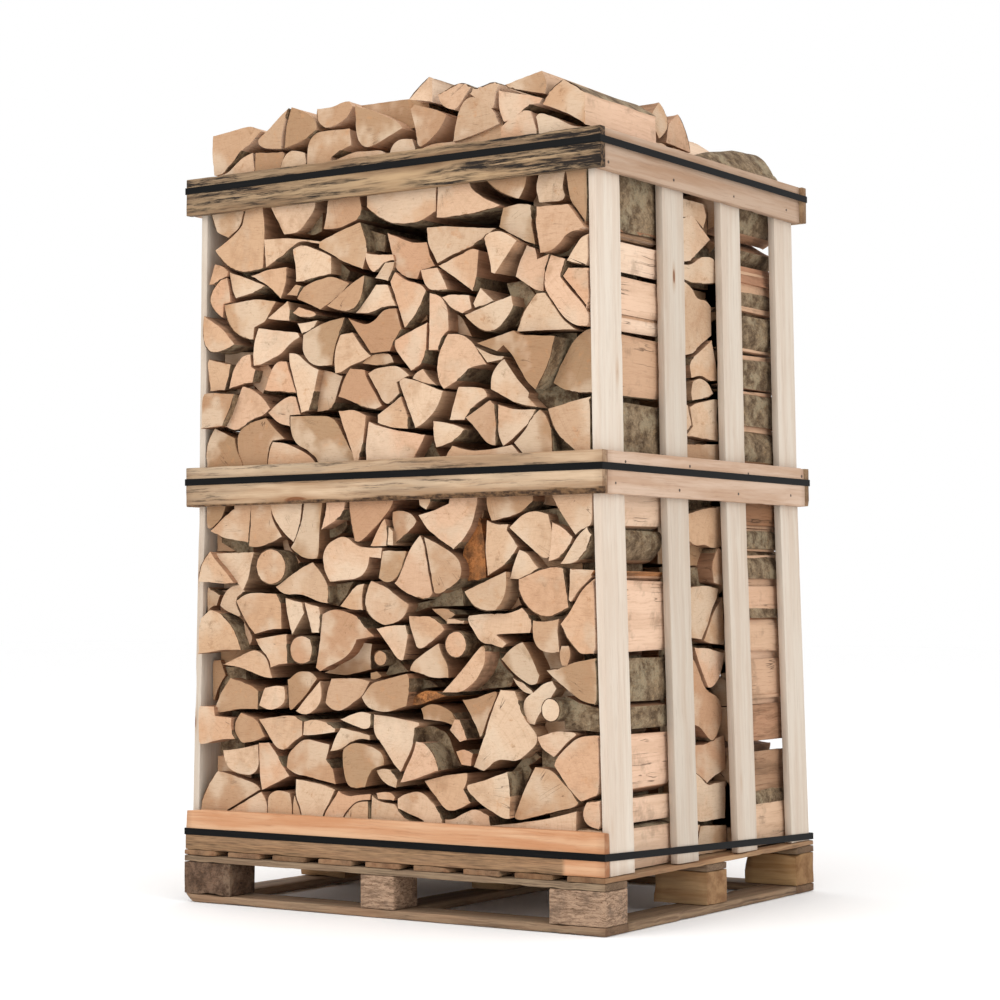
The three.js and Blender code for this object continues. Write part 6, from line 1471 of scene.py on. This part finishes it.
def cross_log(pile, log, turn, rng, face=SIDE_FACE, long=LOG_LONG):
    """One crosswise log: turn is 1 where its end shows on the right and -1 on the left"""
    out, bulge, tone, corners = log
    rim, skins, inner = rim_of(corners, bulge, rng)
    face = face + OUT_SHARE * out

    def place(a, depth, z):
        return turn * (face - depth), turn * a, z

    pile.add(rim, skins, inner, place, rng, tone, long=long)


rng = random.Random(12)
for turn, side in ((1, "right"), (-1, "left")):
    pile = Pile()
    for log in logs_of(SIDE_LOGS):
        cross_log(pile, log, turn, rng)
    piece = pile.piece(f"middle_logs_{side}")
    dressed(piece, None, "split_firewood", *(["middle_log_row"] if turn > 0 else []))
# More of them lie deeper in, behind the gaps between the ends
for turn, side in ((1, "right"), (-1, "left")):
    pile = Pile()
    z = INNER_FOOT
    while z < INNER_TOP:
        high = rng.uniform(0.07, 0.11)
        corners = [(y * CM, z + q * high) for y, q in ((-9, 0), (3, rng.uniform(-0.05, 0.05)), (15.4, 0),
                                                       (15.4, 0.95), (4, 0.97), (-9, 0.94))]
        log = (rng.uniform(-40, 0) * MM, 0.0, "k", corners)
        cross_log(pile, log, turn, rng, SIDE_FACE - INNER_BACK, INNER_LONG)
        z += high + INNER_GAP
    dressed(pile.piece(f"middle_inner_logs_{side}"), None, "split_firewood")
pile = Pile()
for face in CROSS_FACES:
    for log in logs_of(MIDDLE_HEAP_LOGS):
        cross_log(pile, log, 1, rng, face + rng.uniform(-8, 0) * MM, CROSS_LONG)
dressed(pile.piece("middle_heap_logs"), None, "split_firewood")

# Floor, light and camera
# A white studio floor that runs into a white wall, wide soft lights, and a long lens.

FLOOR_WIDE = 60.0
FLOOR_DOWN = 1 * MM
bpy.ops.mesh.primitive_plane_add(size=FLOOR_WIDE, location=(0, 0, -FLOOR_DOWN))
floor = bpy.context.object
floor.name = "floor"
paper, wire = new_material("white paper")
finished(wire, rgb(1.0, 1.0, 1.0), 1.0)
floor.data.materials.append(paper)


def area_light(name, place, target, size, power):
    light = bpy.data.lights.new(name, "AREA")
    light.shape = "RECTANGLE"
    light.size, light.size_y = size
    light.energy = power
    lamp = laid(name, light)
    lamp.location = place
    lamp.rotation_euler = (Vector(target) - Vector(place)).to_track_quat("-Z", "Y").to_euler()


area_light("key", (-1.2, -4.6, 3.4), (0, 0, 0.9), (2.6, 2.6), 62)
area_light("fill", (4.6, -1.6, 2.6), (0, 0, 0.9), (2.4, 2.8), 46)
area_light("top", (0, -0.4, 4.8), (0, 0, 1.0), (3.0, 3.0), 24)
world = bpy.data.worlds.new("studio")
bpy.context.scene.world = world
world.use_nodes = True
background = world.node_tree.nodes["Background"]
background.inputs["Color"].default_value = (1, 1, 1, 1)
background.inputs["Strength"].default_value = 1.0
bpy.context.scene.view_settings.view_transform = "Standard"

CAMERA = Vector((3.323, -4.9536, 0.7209))
SENSOR, FOCAL_LENGTH = 36.0, 86.55
YAW, PITCH, ROLL = (math.radians(angle) for angle in (-33.894, 2.4521, -0.2454))
forward = Vector((math.cos(PITCH) * math.sin(YAW), math.cos(PITCH) * math.cos(YAW), math.sin(PITCH)))
level = Vector((math.cos(YAW), -math.sin(YAW), 0.0))
upright = level.cross(forward)
right = math.cos(ROLL) * level + math.sin(ROLL) * upright
up = math.cos(ROLL) * upright - math.sin(ROLL) * level
lens = bpy.data.cameras.new("camera")
lens.sensor_width, lens.lens = SENSOR, FOCAL_LENGTH
lens.clip_start, lens.clip_end = 0.1, 200.0
camera = laid("camera", lens)
turn = Matrix((right, up, -forward)).transposed().to_4x4()
camera.matrix_world = Matrix.Translation(CAMERA) @ turn
bpy.context.scene.camera = camera
